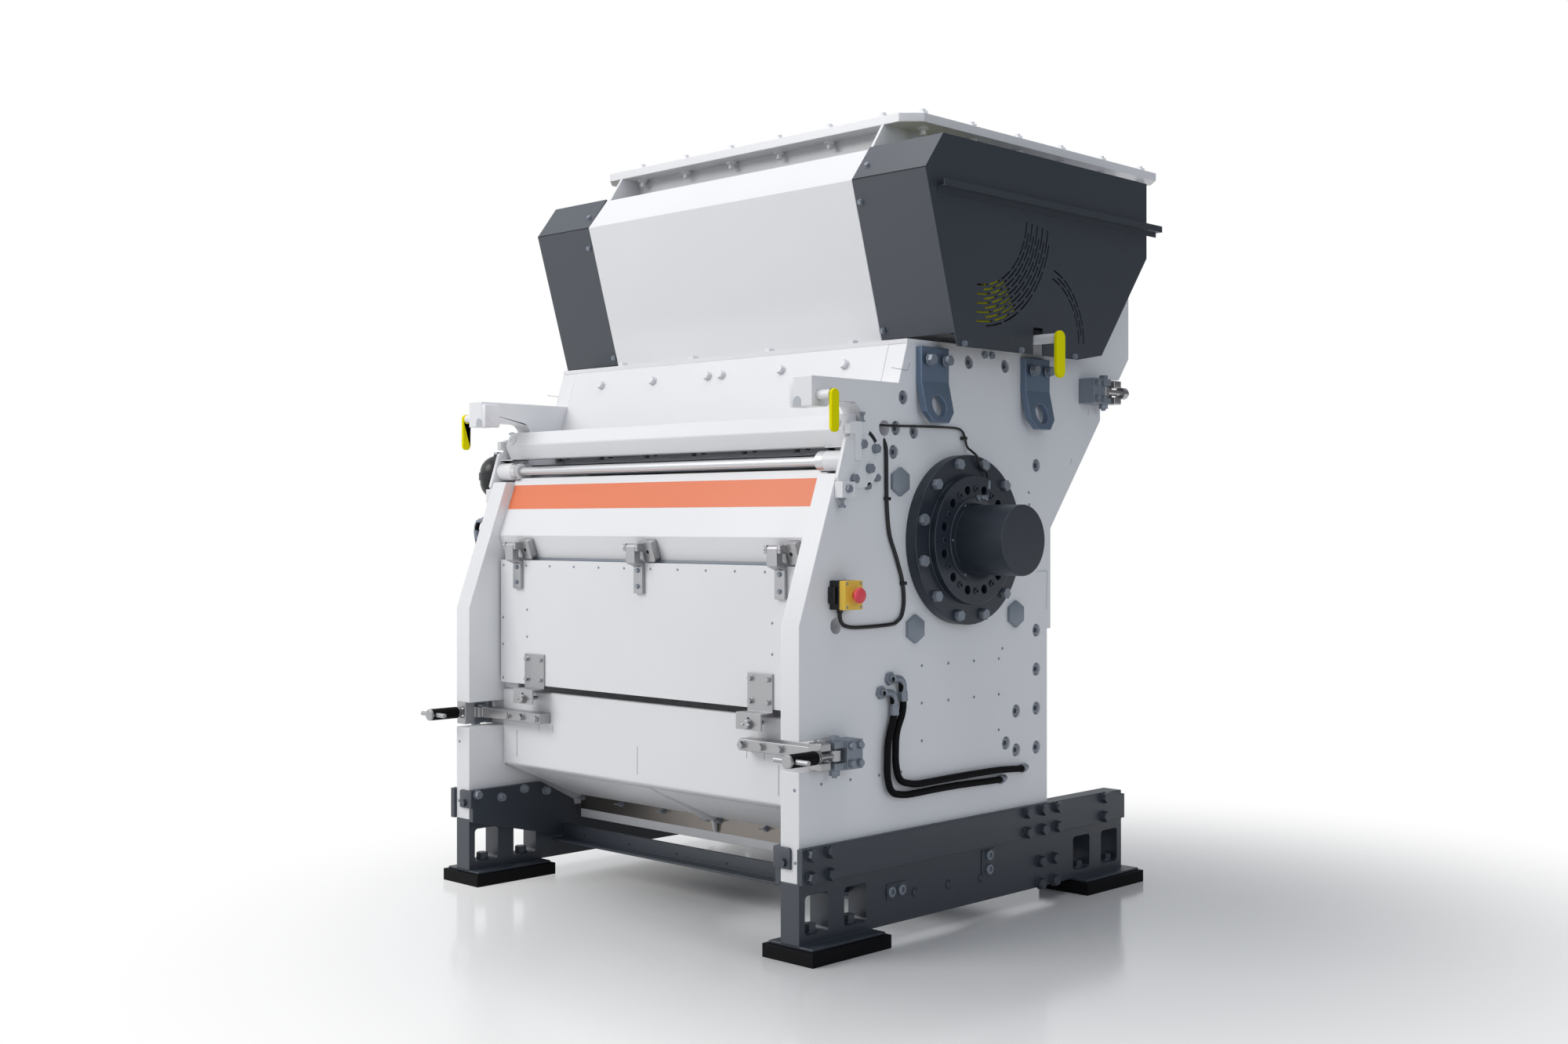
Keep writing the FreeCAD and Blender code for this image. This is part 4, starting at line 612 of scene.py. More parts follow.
def makeBearing(word, side):
    out = (side, 0, 0)
    cutter = bmesh.new()
    step = 360 / bearing["bolts"]
    for i in range(bearing["bolts"]):
        start, end = (aroundShaft(side, bearing["ringFace"] + x, bearing["holeCircle"], step * (i + 0.5))
                      for x in (-bearing["holeDeep"], 5))
        addRod(cutter, start, end, bearing["holeRadius"], 24, 0.01)
    for degrees in (0, 90, 180, 270):
        start, end = (aroundShaft(side, bearing["flangeFace"] + x, bearing["sideHoleCircle"], degrees)
                      for x in (-20, 4))
        addRod(cutter, start, end, bearing["sideHoleRadius"], 16, 0.01)
    face = bearing["ringFace"]
    recess = facing(at(side * (face - bearing["recessDeep"]), bearing["depth"], bearing["height"]), out)
    low, high = bearing["recessIn"], bearing["recessOut"]
    addTurned(cutter, recess, [(low, 0), (high, 0), (high, 6), (low, 6)], 96, closed=True)
    easeEdges("bearing_flange_" + word, 2.5, cutter=cutterFrom(cutter))
    bolts = bmesh.new()
    for i in range(bearing["bolts"]):
        spot = aroundShaft(side, bearing["flangeFace"], bearing["boltCircle"], step * (i + 0.5))
        addHexBolt(bolts, spot, out, bearing["across"], 16, 0, turn=0.3 * i)
    newPiece("flangeBolts_" + word, bolts, zincSteel)
    ring = bmesh.new()
    centre = facing(at(side * (face - bearing["recessDeep"]), bearing["depth"], bearing["height"]), out)
    inner, outer, high = bearing["hubIn"], bearing["hubOut"], bearing["hubHigh"]
    addTurned(ring, centre, [(inner, 0), (outer, 0), (outer, high - 2), (outer - 2, high), (inner + 5, high),
                             (inner, high - 2)], 96, closed=True)
    for i in range(bearing["bolts"]):
        spot = aroundShaft(side, face - bearing["recessDeep"], bearing["smallCircle"], step * i)
        addSocketBolt(ring, spot, out, bearing["smallRadius"], 7, 5, 5)
    newPiece("bearingHub_" + word, ring, darkSteel)
    screws = bmesh.new()
    for i in range(bearing["hubScrews"]):
        spot = aroundShaft(side, face - bearing["recessDeep"] + high, bearing["hubCircle"], 60 * i)
        addButton(screws, spot, out, 3.5, 1.5)
    newPiece("hubScrews_" + word, screws, zincSteel)


# Inspection flap, hinges and latches
flapTrim = {
    "face": 131, "topRow": 1043, "topStart": -685, "pitch": 121.6, "columnX": 560, "columns": [900, 812, 701],
    "screw": 4, "count": 12, "outerColumnX": 688, "outerDrop": 30, "strapFace": 119,
    "strapScrews": [1038, 990], "hinges": [-600, 0, 600],
    "blockStart": 22, "blockWide": 48, "blockLow": 1072, "blockHigh": 1134, "blockDeep": 26, "blockRound": 8,
    "hole": 6, "lugX": 29.7, "lugFace": 88, "lugHeight": 1108,
}
doorSlope = {"noseDepth": 131, "noseHeight": 1141, "foldDepth": 156, "foldHeight": 1068}


def slopeDepth(height):
    share = (doorSlope["noseHeight"] - height) / (doorSlope["noseHeight"] - doorSlope["foldHeight"])
    return doorSlope["noseDepth"] + share * (doorSlope["foldDepth"] - doorSlope["noseDepth"])


def roundedOutline(width, height, radius, steps=5):
    points = []
    for cx, cy, start in ((width - radius, height - radius, 0), (radius, height - radius, 90), (radius, radius, 180),
                          (width - radius, radius, 270)):
        for i in range(steps + 1):
            turn = math.radians(start + 90 * i / steps)
            points.append((cx + radius * math.cos(turn), cy + radius * math.sin(turn)))
    return points


def makeHinges():
    blocks = bmesh.new()
    holes = bmesh.new()
    screws = bmesh.new()
    low, high = flapTrim["blockLow"], flapTrim["blockHigh"]
    for middle in flapTrim["hinges"]:
        foot = at(middle + flapTrim["blockStart"], slopeDepth(low) - 1, low)
        up = (at(0, slopeDepth(high) - 1, high) - at(0, slopeDepth(low) - 1, low)).normalized()
        out = Vector((1, 0, 0)).cross(up)
        turn = Matrix((Vector((1, 0, 0)), up, out)).transposed().to_4x4()
        matrix = Matrix.Translation(foot) @ turn
        tall = (high - low) / up.z
        addPlate(blocks, matrix, roundedOutline(flapTrim["blockWide"], tall, flapTrim["blockRound"]),
                 flapTrim["blockDeep"], 1.0)
        centre = matrix @ Vector((flapTrim["blockWide"] / 2 * mm, tall / 2 * mm, flapTrim["blockDeep"] * mm))
        addRod(holes, centre, centre + out * 0.0006, flapTrim["hole"], 20, 0.1)
        for x in (-flapTrim["lugX"], flapTrim["lugX"]):
            addButton(blocks, at(middle + x, flapTrim["lugFace"], flapTrim["lugHeight"]), (0, -1, 0), 4, 2)
        for z in flapTrim["strapScrews"]:
            addHexBolt(screws, at(middle, flapTrim["strapFace"], z), (0, -1, 0), 12, 4, 16, 1)
    newPiece("hingePlates", blocks, stainless)
    newPiece("hingeHoles", holes, darkGap)
    newPiece("strapScrews", screws, zincSteel, "flap")


def makeFlapScrews():
    bm = bmesh.new()
    for i in range(flapTrim["count"]):
        x = flapTrim["topStart"] + flapTrim["pitch"] * i
        if min(abs(x - hinge) for hinge in flapTrim["hinges"]) > 24:
            addButton(bm, at(x, flapTrim["face"], flapTrim["topRow"]), (0, -1, 0), flapTrim["screw"], 2)
    for side in (1, -1):
        for z in flapTrim["columns"]:
            addButton(bm, at(side * flapTrim["columnX"], flapTrim["face"], z), (0, -1, 0), flapTrim["screw"], 2)
            addButton(bm, at(side * flapTrim["outerColumnX"], flapTrim["face"], z - flapTrim["outerDrop"]),
                      (0, -1, 0), flapTrim["screw"], 2)
    newPiece("flapScrews", bm, castGrey, "flap")


latch = {"middle": 516, "plateFace": 125, "columns": [-35, 35], "rows": [741, 676], "lipFace": 79, "studHeight": 616,
         "slotHigh": 22, "slotWide": 9, "wing": 20}


def makeLatches():
    bolts = bmesh.new()
    slots = bmesh.new()
    for side in (1, -1):
        middle = side * latch["middle"]
        for x in latch["columns"]:
            for z in latch["rows"]:
                addHexBolt(bolts, at(middle + x, latch["plateFace"], z), (0, -1, 0), 14, 8, 17, 1.5)
        slot = roundedOutline(latch["slotWide"], latch["slotHigh"], latch["slotWide"] / 2 - 0.1)
        start = at(middle - latch["slotWide"] / 2, latch["lipFace"], latch["studHeight"] - 2)
        addPlate(slots, Matrix.Translation(start) @ frontOutline, slot, 0.6)
        stud = at(middle, latch["lipFace"], latch["studHeight"])
        addTurned(bolts, facing(stud, (0, -1, 0)), [(0, 0), (15, 0), (15, 2), (11, 3), (11, 5), (15, 5.5), (15, 7),
                                                    (0, 7)], 28)
        for sign in (1, -1):
            addBox(bolts, at(middle + (4 if sign > 0 else -latch["wing"]), 62, latch["studHeight"] - 2.5),
                   at(middle + (latch["wing"] if sign > 0 else -4), 70, latch["studHeight"] + 2.5), 2)
    newPiece("latchBolts", bolts, stainless, "flap")
    newPiece("latchSlots", slots, darkGap, "flap")


# Clamps: bolts of bars and clevises, pin heads, grip sleeves and rings of the swing bolts
clampTrim = {
    "barBolts": [472, 548, 622], "barFace": 100, "barHeight": 553, "clevisFace": 840, "across": 815,
    "clevisDepths": [152, 186], "clevisRise": 24, "rearDepths": [1322, 1356], "rearHeight": 1605,
    "pinDepth": 112, "rearPinDepth": 1396, "pinAcross": 26, "pinRise": 40, "capFront": -69.7,
    "sleeveBack": 33, "sleeveFront": -66, "slits": [444, 515], "slitLow": 508, "slitHigh": 532,
}


def makeClamps(word, side):
    x = side * clampTrim["across"]
    steel = bmesh.new()
    for spot in clampTrim["barBolts"]:
        place = at(side * spot, clampTrim["barFace"], clampTrim["barHeight"])
        addHexBolt(steel, place, (0, -1, 0), 20, 11, 22, 1.5)
    newPiece("barBolts_" + word, steel, stainless)
    grey = bmesh.new()
    for depths, height in ((clampTrim["clevisDepths"], clampTrim["barHeight"]),
                           (clampTrim["rearDepths"], clampTrim["rearHeight"])):
        for y in depths:
            for rise in (clampTrim["clevisRise"], -clampTrim["clevisRise"]):
                addHexBolt(grey, at(side * clampTrim["clevisFace"], y, height + rise), (side, 0, 0), 19, 11, 0)
    for y, height in ((clampTrim["pinDepth"], clampTrim["barHeight"]),
                      (clampTrim["rearPinDepth"], clampTrim["rearHeight"])):
        addHexBolt(grey, at(x, y, height + clampTrim["pinRise"]), (0, 0, 1), clampTrim["pinAcross"], 13, 0)
        addHexBolt(grey, at(x, y, height - clampTrim["pinRise"]), (0, 0, -1), clampTrim["pinAcross"], 13, 30, 2, 6)
    newPiece("clevisBolts_" + word, grey, zincSteel)
    body = "front_%s_bolt" % word
    front = easeEdges("swing_bolt_front_" + word, 1.2)
    back, fore = clampTrim["sleeveBack"], clampTrim["sleeveFront"]
    axis = at(x, 0, clampTrim["barHeight"])
    paintFaces(front, rubber, lambda c: at(0, fore, 0).y < c.y < at(0, back, 0).y
               and 15 * mm < math.hypot(c.x - axis.x, c.z - axis.z) < 22 * mm)
    rings = bmesh.new()
    for start, radius, high in ((back, 18, 4), (back + 6, 15.5, 5), (back + 13, 17, 3)):
        matrix = facing(at(x, start, clampTrim["barHeight"]), (0, 1, 0))
        addTurned(rings, matrix, [(0, 0), (radius - 1, 0), (radius, 1), (radius, high - 1), (radius - 1, high),
                                  (0, high)], 32)
    cap = facing(at(x, clampTrim["capFront"], clampTrim["barHeight"]), (0, -1, 0))
    addTurned(rings, cap, [(0, 0), (18.5, 0), (18.5, 4), (16.5, 6), (0, 6)], 32)
    newPiece("boltRings_" + word, rings, stainless, body)
    slits = bmesh.new()
    for spot in clampTrim["slits"]:
        addBox(slits, at(side * spot - 0.8, 144.6, clampTrim["slitLow"]),
               at(side * spot + 0.8, 146, clampTrim["slitHigh"]))
    newPiece("panelSlits_" + word, slits, castGrey)


# Eccentric discs of the pivot tube
disc = {
    "face": 792, "bolts": [(248, 1400), (304, 1389), (279, 1333), (214, 1303)], "small": [(282, 1285), (321, 1308)],
    "screwBlocks": [(247, 1462, 1), (165, 1250, -1)], "slotCentre": (247, 1354), "slotRadius": 92,
    "front": [(149, 1305), (184, 1415), (232, 1428), (247, 1354), (214, 1285), (160, 1285)], "frontFace": 793,
    "step": [(190, 1428), (248, 1456)], "stepFace": 801,
    "slotFrom": 36, "slotTo": 60, "slotWide": 12, "foot": 780.3, "tabBolt": (810, 173, 1275), "screwX": 795,
}


def makeDiscFasteners(word, side):
    out = (side, 0, 0)
    bm = bmesh.new()
    for y, z in disc["bolts"]:
        addHexBolt(bm, at(side * disc["face"], y, z), out, 24, 12, 28, 2)
    for y, z in disc["small"]:
        addHexBolt(bm, at(side * 780, y, z), out, 20, 12, 0)
    for y, z, rise in disc["screwBlocks"]:
        addHexBolt(bm, at(side * disc["screwX"], y, z), (0, 0, rise), 17, 5, 0, stub=14)
        addHexBolt(bm, at(side * disc["screwX"], y, z + rise * 19), (0, 0, rise), 17, 8, 0)
    x, y, z = disc["tabBolt"]
    addHexBolt(bm, at(side * x, y, z), out, 20, 10, 0)
    newPiece("discBolts_" + word, bm, zincSteel)
    front = bmesh.new()
    start = disc["foot"] if side > 0 else -disc["frontFace"]
    addPlate(front, Matrix.Translation(at(start, 0, 0)) @ sideOutline, disc["front"],
             disc["frontFace"] - disc["foot"], 1.5)
    (fore, foot), (back, top) = disc["step"]
    low, high = sorted((side * 780.4, side * disc["stepFace"]))
    addBox(front, at(low, fore, foot), at(high, back, top), 2)
    newPiece("discFront_" + word, front, whitePaint)
    arc = bmesh.new()
    outline = []
    for order in (1, -1):
        radius = disc["slotRadius"] + order * disc["slotWide"] / 2
        angles = [disc["slotFrom"] + (disc["slotTo"] - disc["slotFrom"]) * i / 8 for i in range(9)][::order]
        outline += [(radius * math.cos(math.radians(a)), radius * math.sin(math.radians(a))) for a in angles]
    centre = at(side * 780, *disc["slotCentre"])
    addPlate(arc, Matrix.Translation(centre - Vector((0.0004, 0, 0))) @ sideOutline, outline, 0.8)
    newPiece("discSlot_" + word, arc, darkGap)


# Collars on the tube, rails behind it, a pale strip over the flap, bolts under the top beam and its round pin ends
crossTrim = {
    "beamBolts": [-528, -314, -96, 120, 339, 554], "beamDepth": 238, "beamFoot": 1393, "smallStep": (34, 10),
    "tube": (200, 1354), "tubeRadius": 14.4, "collarFace": 685, "ringFace": 680,
    "rails": [((262, 1366), (300, 1376), 1.5), ((262, 1340), (268, 1376), 1.0)], "railHalf": 705,
    "strip": ((150, 1052), (153, 1069)), "stripHalf": 704, "pinEnd": (735, 205.5, 1457), "pinLean": 0.55,
}


def makeCrossTrim():
    dark = bmesh.new()
    aside, back = crossTrim["smallStep"]
    for x in crossTrim["beamBolts"]:
        addHexBolt(dark, at(x, crossTrim["beamDepth"], crossTrim["beamFoot"]), (0, 0, -1), 15, 9, 0)
        addHexBolt(dark, at(x + aside, crossTrim["beamDepth"] + back, crossTrim["beamFoot"]), (0, 0, -1), 11, 4, 0)
    newPiece("beamBolts", dark, blackPlastic)
    rail = bmesh.new()
    half = crossTrim["railHalf"]
    for low, high, ease in crossTrim["rails"]:
        addBox(rail, at(-half, *low), at(half, *high), ease)
    newPiece("tubeBackRail", rail, castGrey)
    collar = bmesh.new()
    radius = crossTrim["tubeRadius"]
    for side in (1, -1):
        matrix = facing(at(side * crossTrim["collarFace"], *crossTrim["tube"]), (-side, 0, 0))
        addTurned(collar, matrix, [(radius, 0), (26, 0), (26, 4), (24, 5), (radius, 5)], 48, closed=True)
    newPiece("tubeCollars", collar, whitePaint)
    ring = bmesh.new()
    matrix = facing(at(crossTrim["ringFace"], *crossTrim["tube"]), (-1, 0, 0))
    addTurned(ring, matrix, [(radius, 0), (24, 0), (23, 1.5), (radius, 1.5)], 48, closed=True)
    newPiece("tubeRing", ring, yellowPlastic)
    strip = bmesh.new()
    half = crossTrim["stripHalf"]
    low, high = crossTrim["strip"]
    addBox(strip, at(-half, *low), at(half, *high), 0.5)
    newPiece("gapStrip", strip, castGrey)
    ends = bmesh.new()
    x, y, z = crossTrim["pinEnd"]
    lean = Vector((0, -1, crossTrim["pinLean"])).normalized()
    for side in (1, -1):
        addTurned(ends, facing(at(side * x, y, z) + lean * mm, lean),
                  [(0, 0), (16, 0), (16, 1.5), (14.5, 2.2), (11, 2.2), (10.5, 0.8), (5, 0.8), (4.5, 2.4),
                   (0, 2.4)], 32)
    newPiece("beamPinEnds", ends, whitePaint)


# White bolts on the shoulder, the sill and the infeed flange
whiteBolts = {
    "shoulder": [-553, -293, -31, 32, 293.5, 554], "shoulderHeight": 1647, "lean": 0.32, "across": 24,
    "sill": [-493, -146, 200, 547], "sillDepth": 485, "sillTop": 1710,
    "flangeTop": 2394, "flangeFoot": 2367, "flangeFrontDepth": 618, "flangeSideX": 665,
    "frontX": [-545, -326, -107, 112, 331, 550], "sideDepths": [667 + 235.2 * i for i in range(6)],
    "rearDepth": 1877,
}


def makeWhiteBolts():
    bm = bmesh.new()
    lean = Vector((0, -1, whiteBolts["lean"])).normalized()
    for x in whiteBolts["shoulder"]:
        z = whiteBolts["shoulderHeight"]
        spot = at(x, 458 - whiteBolts["lean"] * (1697 - z), z)
        addHexBolt(bm, spot, lean, whiteBolts["across"], 12, 31, 2.5)
    for x in whiteBolts["sill"]:
        addHexBolt(bm, at(x, whiteBolts["sillDepth"], whiteBolts["sillTop"]), (0, 0, 1), 30, 9, 36, 3)
    rows = [(x, whiteBolts["flangeFrontDepth"]) for x in whiteBolts["frontX"]]
    rows += [(x, whiteBolts["rearDepth"]) for x in whiteBolts["frontX"]]
    rows += [(side * whiteBolts["flangeSideX"], y) for side in (1, -1) for y in whiteBolts["sideDepths"]]
    for x, y in rows:
        addHexBolt(bm, at(x, y, whiteBolts["flangeTop"]), (0, 0, 1), 30, 14, 36, 4, 8)
        addHexBolt(bm, at(x, y, whiteBolts["flangeFoot"]), (0, 0, -1), 30, 10, 0, stub=16)
    newPiece("whiteBolts", bm, whitePaint)


# Guards: screws, the seam under the bevelled sheet, and flat dark sheets that paint the shade behind the slots and in
# the gap below the guard
guard = {
    "side": 877, "sideScrews": [(596, 1698), (869, 1698), (1145, 1698)], "holes": [(1078, 2144)],
    "foldDepth": 421, "foldHeight": 2183, "footDepth": 555, "footHeight": 1716, "inner": 602,
    "frontScrews": [(618, 2118), (612, 1751)], "bevelScrew": (633, 2224), "topDepth": 501, "topHeight": 2284,
    # These rows place flat dark sheets that paint the shade behind the slots and under the guard
    "shadeSheet": [(575, 1770), (1290, 1770), (1400, 1950), (1400, 2150), (560, 2150)], "shadeSheetX": 849,
    "shadeSheetThick": 3, "footShadeHeight": 1768, "footShadeInner": 606, "footShadeBack": 1290,
}


def guardFrontDepth(height):
    share = (guard["foldHeight"] - height) / (guard["foldHeight"] - guard["footHeight"])
    return guard["foldDepth"] + share * (guard["footDepth"] - guard["foldDepth"])


def makeGuardTrim(word, side):
    bm = bmesh.new()
    for y, z in guard["sideScrews"]:
        addHexBolt(bm, at(side * guard["side"], y, z), (side, 0, 0), 15, 7, 20, 1.5)
    lean = Vector((0, -1, -0.287)).normalized()
    for x, z in guard["frontScrews"]:
        addHexBolt(bm, at(side * x, guardFrontDepth(z), z), lean, 14, 7, 18, 1.5)
    x, z = guard["bevelScrew"]
    share = (z - guard["foldHeight"]) / (guard["topHeight"] - guard["foldHeight"])
    y = guard["foldDepth"] + share * (guard["topDepth"] - guard["foldDepth"])
    addHexBolt(bm, at(side * x, y, z), Vector((0, -1, 0.79)).normalized(), 14, 7, 18, 1.5)
    newPiece("guardScrews_" + word, bm, zincSteel)
    seams = bmesh.new()
    low, high = sorted((side * guard["inner"], side * (guard["side"] - 1)))
    addBox(seams, at(low, guard["foldDepth"] - 0.8, guard["foldHeight"] - 1.6),
           at(high, guard["foldDepth"] + 3, guard["foldHeight"] + 1.6))
    for y, z in guard["holes"]:
        addRod(seams, at(side * (guard["side"] - 1), y, z), at(side * (guard["side"] + 0.4), y, z), 6, 16, 0.1)
    # Painted shade: a dark sheet behind the slots and a dark sheet along the guard's foot stand in for the shade
    # inside the guard
    thick = guard["shadeSheetThick"]
    start = side * guard["shadeSheetX"] - (0 if side > 0 else thick)
    addPlate(seams, Matrix.Translation(at(start, 0, 0)) @ sideOutline, guard["shadeSheet"], thick)
    low, high = sorted((side * guard["footShadeInner"], side * (guard["shadeSheetX"] + 2)))
    addBox(seams, at(low, guard["shadeSheet"][0][0], guard["footShadeHeight"]),
           at(high, guard["footShadeBack"], guard["footShadeHeight"] + thick))
    newPiece("guardSeams_" + word, seams, darkGap)


# Lifting lugs' bolts
lug = {"face": 812, "fronts": [496, 996], "offsets": [12, 87], "height": 1652, "across": 28}


def makeLugBolts(word, side):
    bm = bmesh.new()
    for front in lug["fronts"]:
        for offset in lug["offsets"]:
            place = at(side * lug["face"], front + offset + 13, lug["height"])
            addHexBolt(bm, place, (side, 0, 0), lug["across"], 15, 36, 3)
    newPiece("lugBolts_" + word, bm, zincSteel)


# Arm heads with a rounded notch in front, whose shaded hollow is painted as a flat pale grey plate
armHead = {"inner": 692, "outer": 779, "front": 60, "back": 122, "foot": 1497, "top": 1573,
           "notchX": 725, "notchRadius": 15, "notchHeight": 1512, "pinEnd": (88, 1529)}


def makeArmHead(word, side):
    bm = bmesh.new()
    low, high = sorted((side * armHead["inner"], side * (armHead["outer"] - 66)))
    addBox(bm, at(low, armHead["front"], armHead["foot"]), at(high, armHead["back"], armHead["top"]), 6)
    centre = at(side * armHead["notchX"], armHead["front"] - 0.5, armHead["notchHeight"])
    newPiece("armHead_" + word, bm, whitePaint)
    # Painted shade: a thin pale grey plate shaped like the notch stands in for its shaded hollow
    notch = bmesh.new()
    radius = armHead["notchRadius"]
    outline = [(-radius, 1 - radius), (radius, 1 - radius)]
    outline += [(radius * math.cos(math.radians(a)), radius * math.sin(math.radians(a))) for a in range(0, 181, 20)]
    addPlate(notch, Matrix.Translation(centre + Vector((0, 0.0006, 0))) @ frontOutline, outline, 0.5)
    newPiece("armNotch_" + word, notch, notchShadeGrey)
    pinEnd = bmesh.new()
    addTurned(pinEnd, facing(at(side * armHead["inner"], *armHead["pinEnd"]), (-side, 0, 0)),
              [(0, 0), (14, 0), (14, 1.5), (12, 2), (11, 1), (0, 1)], 32)
    newPiece("armPinEnd_" + word, pinEnd, whitePaint)


# Emergency stop: mushroom, collar, lid screws and cable glands
stop = {"middle": 166, "centre": 985, "lidFace": 838, "button": 21.5, "corner": 8,
        "boxFront": 130, "boxBack": 202, "boxFoot": 945, "boxTop": 1025}


def makeStopDetails():
    button = bmesh.new()
    matrix = facing(at(stop["lidFace"] + 4, stop["middle"], stop["centre"]), (1, 0, 0))
    radius = stop["button"]
    addTurned(button, matrix, [(0, 0), (8, 0), (8, 9), (11, 10), (radius - 1, 12), (radius, 15), (radius, 19),
                               (radius - 2.5, 23), (radius - 8, 25), (0, 26)], 40)
    piece = newPiece("stopMushroom", button, redPlastic, "button", smoothAngle=50)
    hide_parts("stop_button")
    collar = bmesh.new()
    matrix = facing(at(stop["lidFace"], stop["middle"], stop["centre"]), (1, 0, 0))
    addTurned(collar, matrix, [(9, 0), (17, 0), (16, 2.5), (14, 3.5), (9, 3.5)], 36, closed=True)
    newPiece("stopCollar", collar, yellowPlastic)
    screws = bmesh.new()
    for y in (stop["boxFront"] + stop["corner"], stop["boxBack"] - stop["corner"]):
        for z in (stop["boxFoot"] + stop["corner"], stop["boxTop"] - stop["corner"]):
            addSocketBolt(screws, at(stop["lidFace"] - 1, y, z), (1, 0, 0), 4.5, 1.8, 2, 1)
    newPiece("stopScrews", screws, zincSteel)
    glands = bmesh.new()
    addTurned(glands, facing(at(786.4, stop["middle"], stop["boxFoot"]), (0, 0, -1)),
              [(5.6, 0), (9, 0), (9, 8), (7.5, 11), (5.6, 11)], 6, closed=True)
    addBox(glands, at(781, stop["boxFront"] - 8, 962), at(806, stop["boxFront"], 1008), 2)
    newPiece("stopGlands", glands, blackPlastic)


# Hose nuts, elbows and ferrules, the sensor with its plug, and cable clips
sensorSpots = [(834, 765, 1307), (836, 762, 1281), (838, 760, 1258)]
fitting = {"face": 780, "lay": 796, "elbow": 10.9, "ferrule": 13.5, "nut": 34}


def makeFittings():
    steel = bmesh.new()
    for y, z, slip in ((339, 705, 0), (377, 742, 37)):
        addHexBolt(steel, at(fitting["face"], y, z), (1, 0, 0), fitting["nut"], 10, 0)
        bend = [(784, 0, 0), (792, 1, 0), (797, 6, 0), (797, 18, -0.5), (797, 30, -3), (797, 38, -10), (797, 42, -20),
                (797, 43, -34)]
        addSweep(steel, [at(x, y + dy, z + dz) for x, dy, dz in bend], fitting["elbow"])
        top = at(fitting["lay"], y + 43, z - 32)
        foot = at(fitting["lay"], y + (45 if slip else 44), z - 66)
        addTurned(steel, facing(top, foot - top), [(0, 0), (12, 0), (12, 6), (fitting["ferrule"], 7),
                                                   (fitting["ferrule"], 33), (12, 34), (0, 34)], 24)
    for y, z in ((872, 406), (982, 429)):
        start = at(fitting["lay"], y, z)
        end = at(fitting["lay"] - 12, y + 32, z)
        addTurned(steel, facing(start, end - start), [(0, 0), (12.5, 0), (13.5, 1), (13.5, 20), (12, 21), (12, 33),
                                                      (0, 33)], 24)
    newPiece("hoseFittings", steel, zincSteel)
    plug = bmesh.new()
    top, middle, foot = (at(*spot) for spot in sensorSpots)
    addRod(plug, top, middle, 7.5, 20)
    addRod(plug, middle, foot, 3, 14)
    for y, z in ((705, 1252), (722, 1256)):
        addHexBolt(plug, at(840, y, z), (1, 0, 0), 12, 8, 14, 1)
    addBox(plug, at(840, 700, 1246), at(843, 752, 1264), 1)
    newPiece("sensorPlug", plug, zincSteel)
    clips = bmesh.new()
    for y, z in ((708, 1432), (362, 1250), (432, 1010)):
        addBox(clips, at(780, y - 9, z - 5), at(795, y + 9, z + 5), 2)
    newPiece("cableClips", clips, blackPlastic)


# Cables of the emergency stop and of the speed sensor, as places along the run
cables = {
    "stopRadius": 5.5, "sensorRadius": 3.5, "steps": 5,
    "stop": [(786.4, 166, 944), (786.4, 166, 922), (786.4, 172, 908), (786.4, 190, 898), (786.4, 240, 892.5),
             (786.4, 375, 895), (786.4, 408, 904), (786.4, 427, 921), (786.4, 436, 962), (786.4, 428, 1020),
             (786.4, 400, 1090), (786.4, 373, 1150), (786.4, 362, 1230), (786.4, 360, 1320), (786.4, 359, 1381),
             (783, 358, 1403), (776, 357, 1419)],
    "sensor": [(776, 333, 1457), (788, 400, 1457), (788, 527, 1460), (788, 659, 1461), (788, 695, 1455),
               (788, 710, 1439), (790, 720, 1408), (806, 722, 1394), (827, 720, 1378), (828, 733, 1349),
               (828, 765, 1331), (828, 772, 1307)],
}


# Places along a smooth curve through the given ones
def curvedRoute(spots, steps):
    places = [at(*spot) for spot in spots]
    places = [2 * places[0] - places[1]] + places + [2 * places[-1] - places[-2]]
    route = []
    for a, b, c, d in zip(places, places[1:], places[2:], places[3:]):
        for i in range(steps):
            t = i / steps
            route.append(0.5 * (2 * b + (c - a) * t + (2 * a - 5 * b + 4 * c - d) * t ** 2
                                + (3 * b - a - 3 * c + d) * t ** 3))
    return route + [places[-2]]


def makeCables():
    bm = bmesh.new()
    addSweep(bm, curvedRoute(cables["stop"], cables["steps"]), cables["stopRadius"])
    addSweep(bm, curvedRoute(cables["sensor"], cables["steps"]), cables["sensorRadius"])
    piece = newPiece("cableRuns", bm, materialOfSlot[slotOfNode["cables"]], smoothAngle=60)
    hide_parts("cables")


# Pressure tank: a bottle with a clamp band on its bracket, and the fitting of its hose
tank = {"x": -865, "depth": 240, "foot": 1262, "radius": 60, "high": 150, "band": 64}


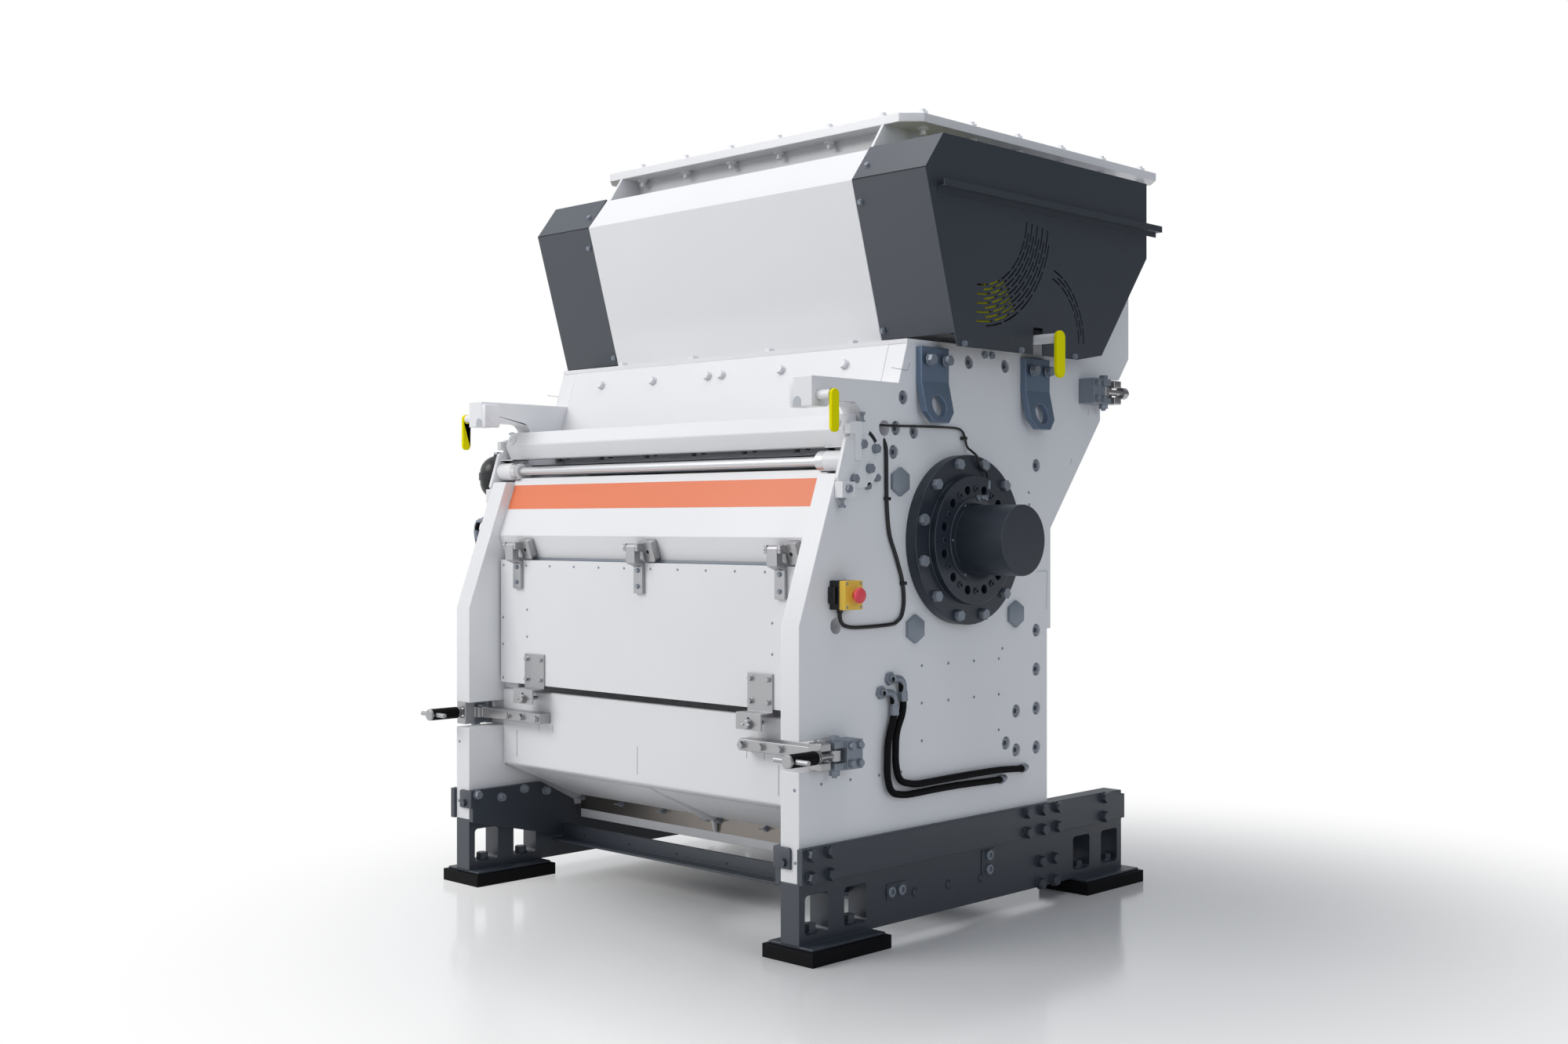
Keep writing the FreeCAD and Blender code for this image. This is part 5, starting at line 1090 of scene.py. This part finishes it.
def makeTank():
    bm = bmesh.new()
    matrix = facing(at(tank["x"], tank["depth"], tank["foot"]), (0, 0, 1))
    radius, high = tank["radius"], tank["high"]
    profile = [(0, 0)]
    for i in range(1, 9):
        turn = math.radians(90 * i / 8)
        profile.append((radius * math.sin(turn), 62 * (1 - math.cos(turn))))
    for i in range(9):
        turn = math.radians(90 * i / 8)
        profile.append((max(radius * math.cos(turn), 14), high - 58 + 58 * math.sin(turn)))
    profile += [(14, high + 3), (0, high + 3)]
    addTurned(bm, matrix, profile, 48)
    addTurned(bm, matrix, [(radius + 0.2, 66), (tank["band"], 66), (tank["band"], 92), (radius + 0.2, 92)], 48,
              closed=True)
    addBox(bm, at(tank["x"] + 40, tank["depth"] - 22, tank["foot"] + 64), at(-792, tank["depth"] + 22,
                                                                           tank["foot"] + 94), 3)
    piece = newPiece("tankBottle", bm, blackPlastic, smoothAngle=50)
    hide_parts("pressure_tank")
    nuts = bmesh.new()
    addHexBolt(nuts, at(tank["x"], tank["depth"], tank["foot"] + high), (0, 0, 1), 24, 12, 0)
    addHexBolt(nuts, at(-780, 126, 1190), (-1, 0, 0), 24, 10, 0)
    addSweep(nuts, [at(-788, 126, 1190), at(-806, 124.5, 1190), at(-820, 125, 1185), at(-829, 126, 1172),
                    at(-831.5, 128, 1152)], 8.4)
    addRod(nuts, at(-831, 127, 1160), at(-832.5, 132, 1128), 10, 20)
    newPiece("tankFittings", nuts, zincSteel)


# Lower panel's long slits, wing screws along the strip, the gusset under the chute, and holes in the front beam
chute = {
    "slits": [-632, -31, 572], "slitLow": 413, "slitHigh": 500, "panelFace": 145,
    "screws": [-676, -475, -264, -53, 3, 211, 422, 633], "face": 462, "height": 238,
    "gussetX": -15, "gussetThick": 7,
    "gusset": [(172, 372), (235, 336), (305, 302), (371, 266), (407, 246), (440, 240), (450, 201),
               (459, 201), (459, 250)],
    "beamFace": 384, "beamHoles": [-575 + 229.8 * k for k in range(6)], "beamHoleHeight": 128, "beamHoleRadius": 4,
}


def makeChuteTrim():
    bm = bmesh.new()
    for x in chute["screws"]:
        spot = at(x, chute["face"], chute["height"])
        addHexBolt(bm, spot, (0, -1, 0), 15, 7, 20, 1.5, 8)
        for sign in (1, -1):
            wing = [(0, 0), (sign * 15, 8), (sign * 17, 15), (sign * 8, 12), (0, 6)]
            turn = Matrix((Vector((1, 0, 0)), Vector((0, -1, 0)), Vector((0, 0, -1)))).transposed().to_4x4()
            addPlate(bm, Matrix.Translation(spot + Vector((0, -0.006, 0.0015))) @ turn, wing, 3, 0.5)
    newPiece("wingScrews", bm, castGrey)
    gusset = bmesh.new()
    matrix = Matrix.Translation(at(chute["gussetX"], 0, 0)) @ sideOutline
    addPlate(gusset, matrix, chute["gusset"], chute["gussetThick"], 0.8)
    newPiece("chuteGusset", gusset, whitePaint)
    slits = bmesh.new()
    for x in chute["slits"]:
        addBox(slits, at(x - 1.2, chute["panelFace"] - 0.3, chute["slitLow"]),
               at(x + 1.2, chute["panelFace"] + 1, chute["slitHigh"]))
    newPiece("panelSlits", slits, castGrey)
    holes = bmesh.new()
    for x in chute["beamHoles"]:
        spot = at(x, chute["beamFace"] + 0.5, chute["beamHoleHeight"])
        addRod(holes, spot, spot + Vector((0, -0.0008, 0)), chute["beamHoleRadius"], 16, 0.1)
    newPiece("beamHoles", holes, darkGap)


for word, side in sides.items():
    makeBaseFasteners(word, side)
    makeBearing(word, side)
    makeClamps(word, side)
    makeDiscFasteners(word, side)
    makeGuardTrim(word, side)
    makeLugBolts(word, side)
    makeArmHead(word, side)
print("side fasteners done")
makeHinges()
makeFlapScrews()
makeLatches()
makeCrossTrim()
makeWhiteBolts()
makeStopDetails()
makeFittings()
makeCables()
makeTank()
makeChuteTrim()
print("front and fittings done")
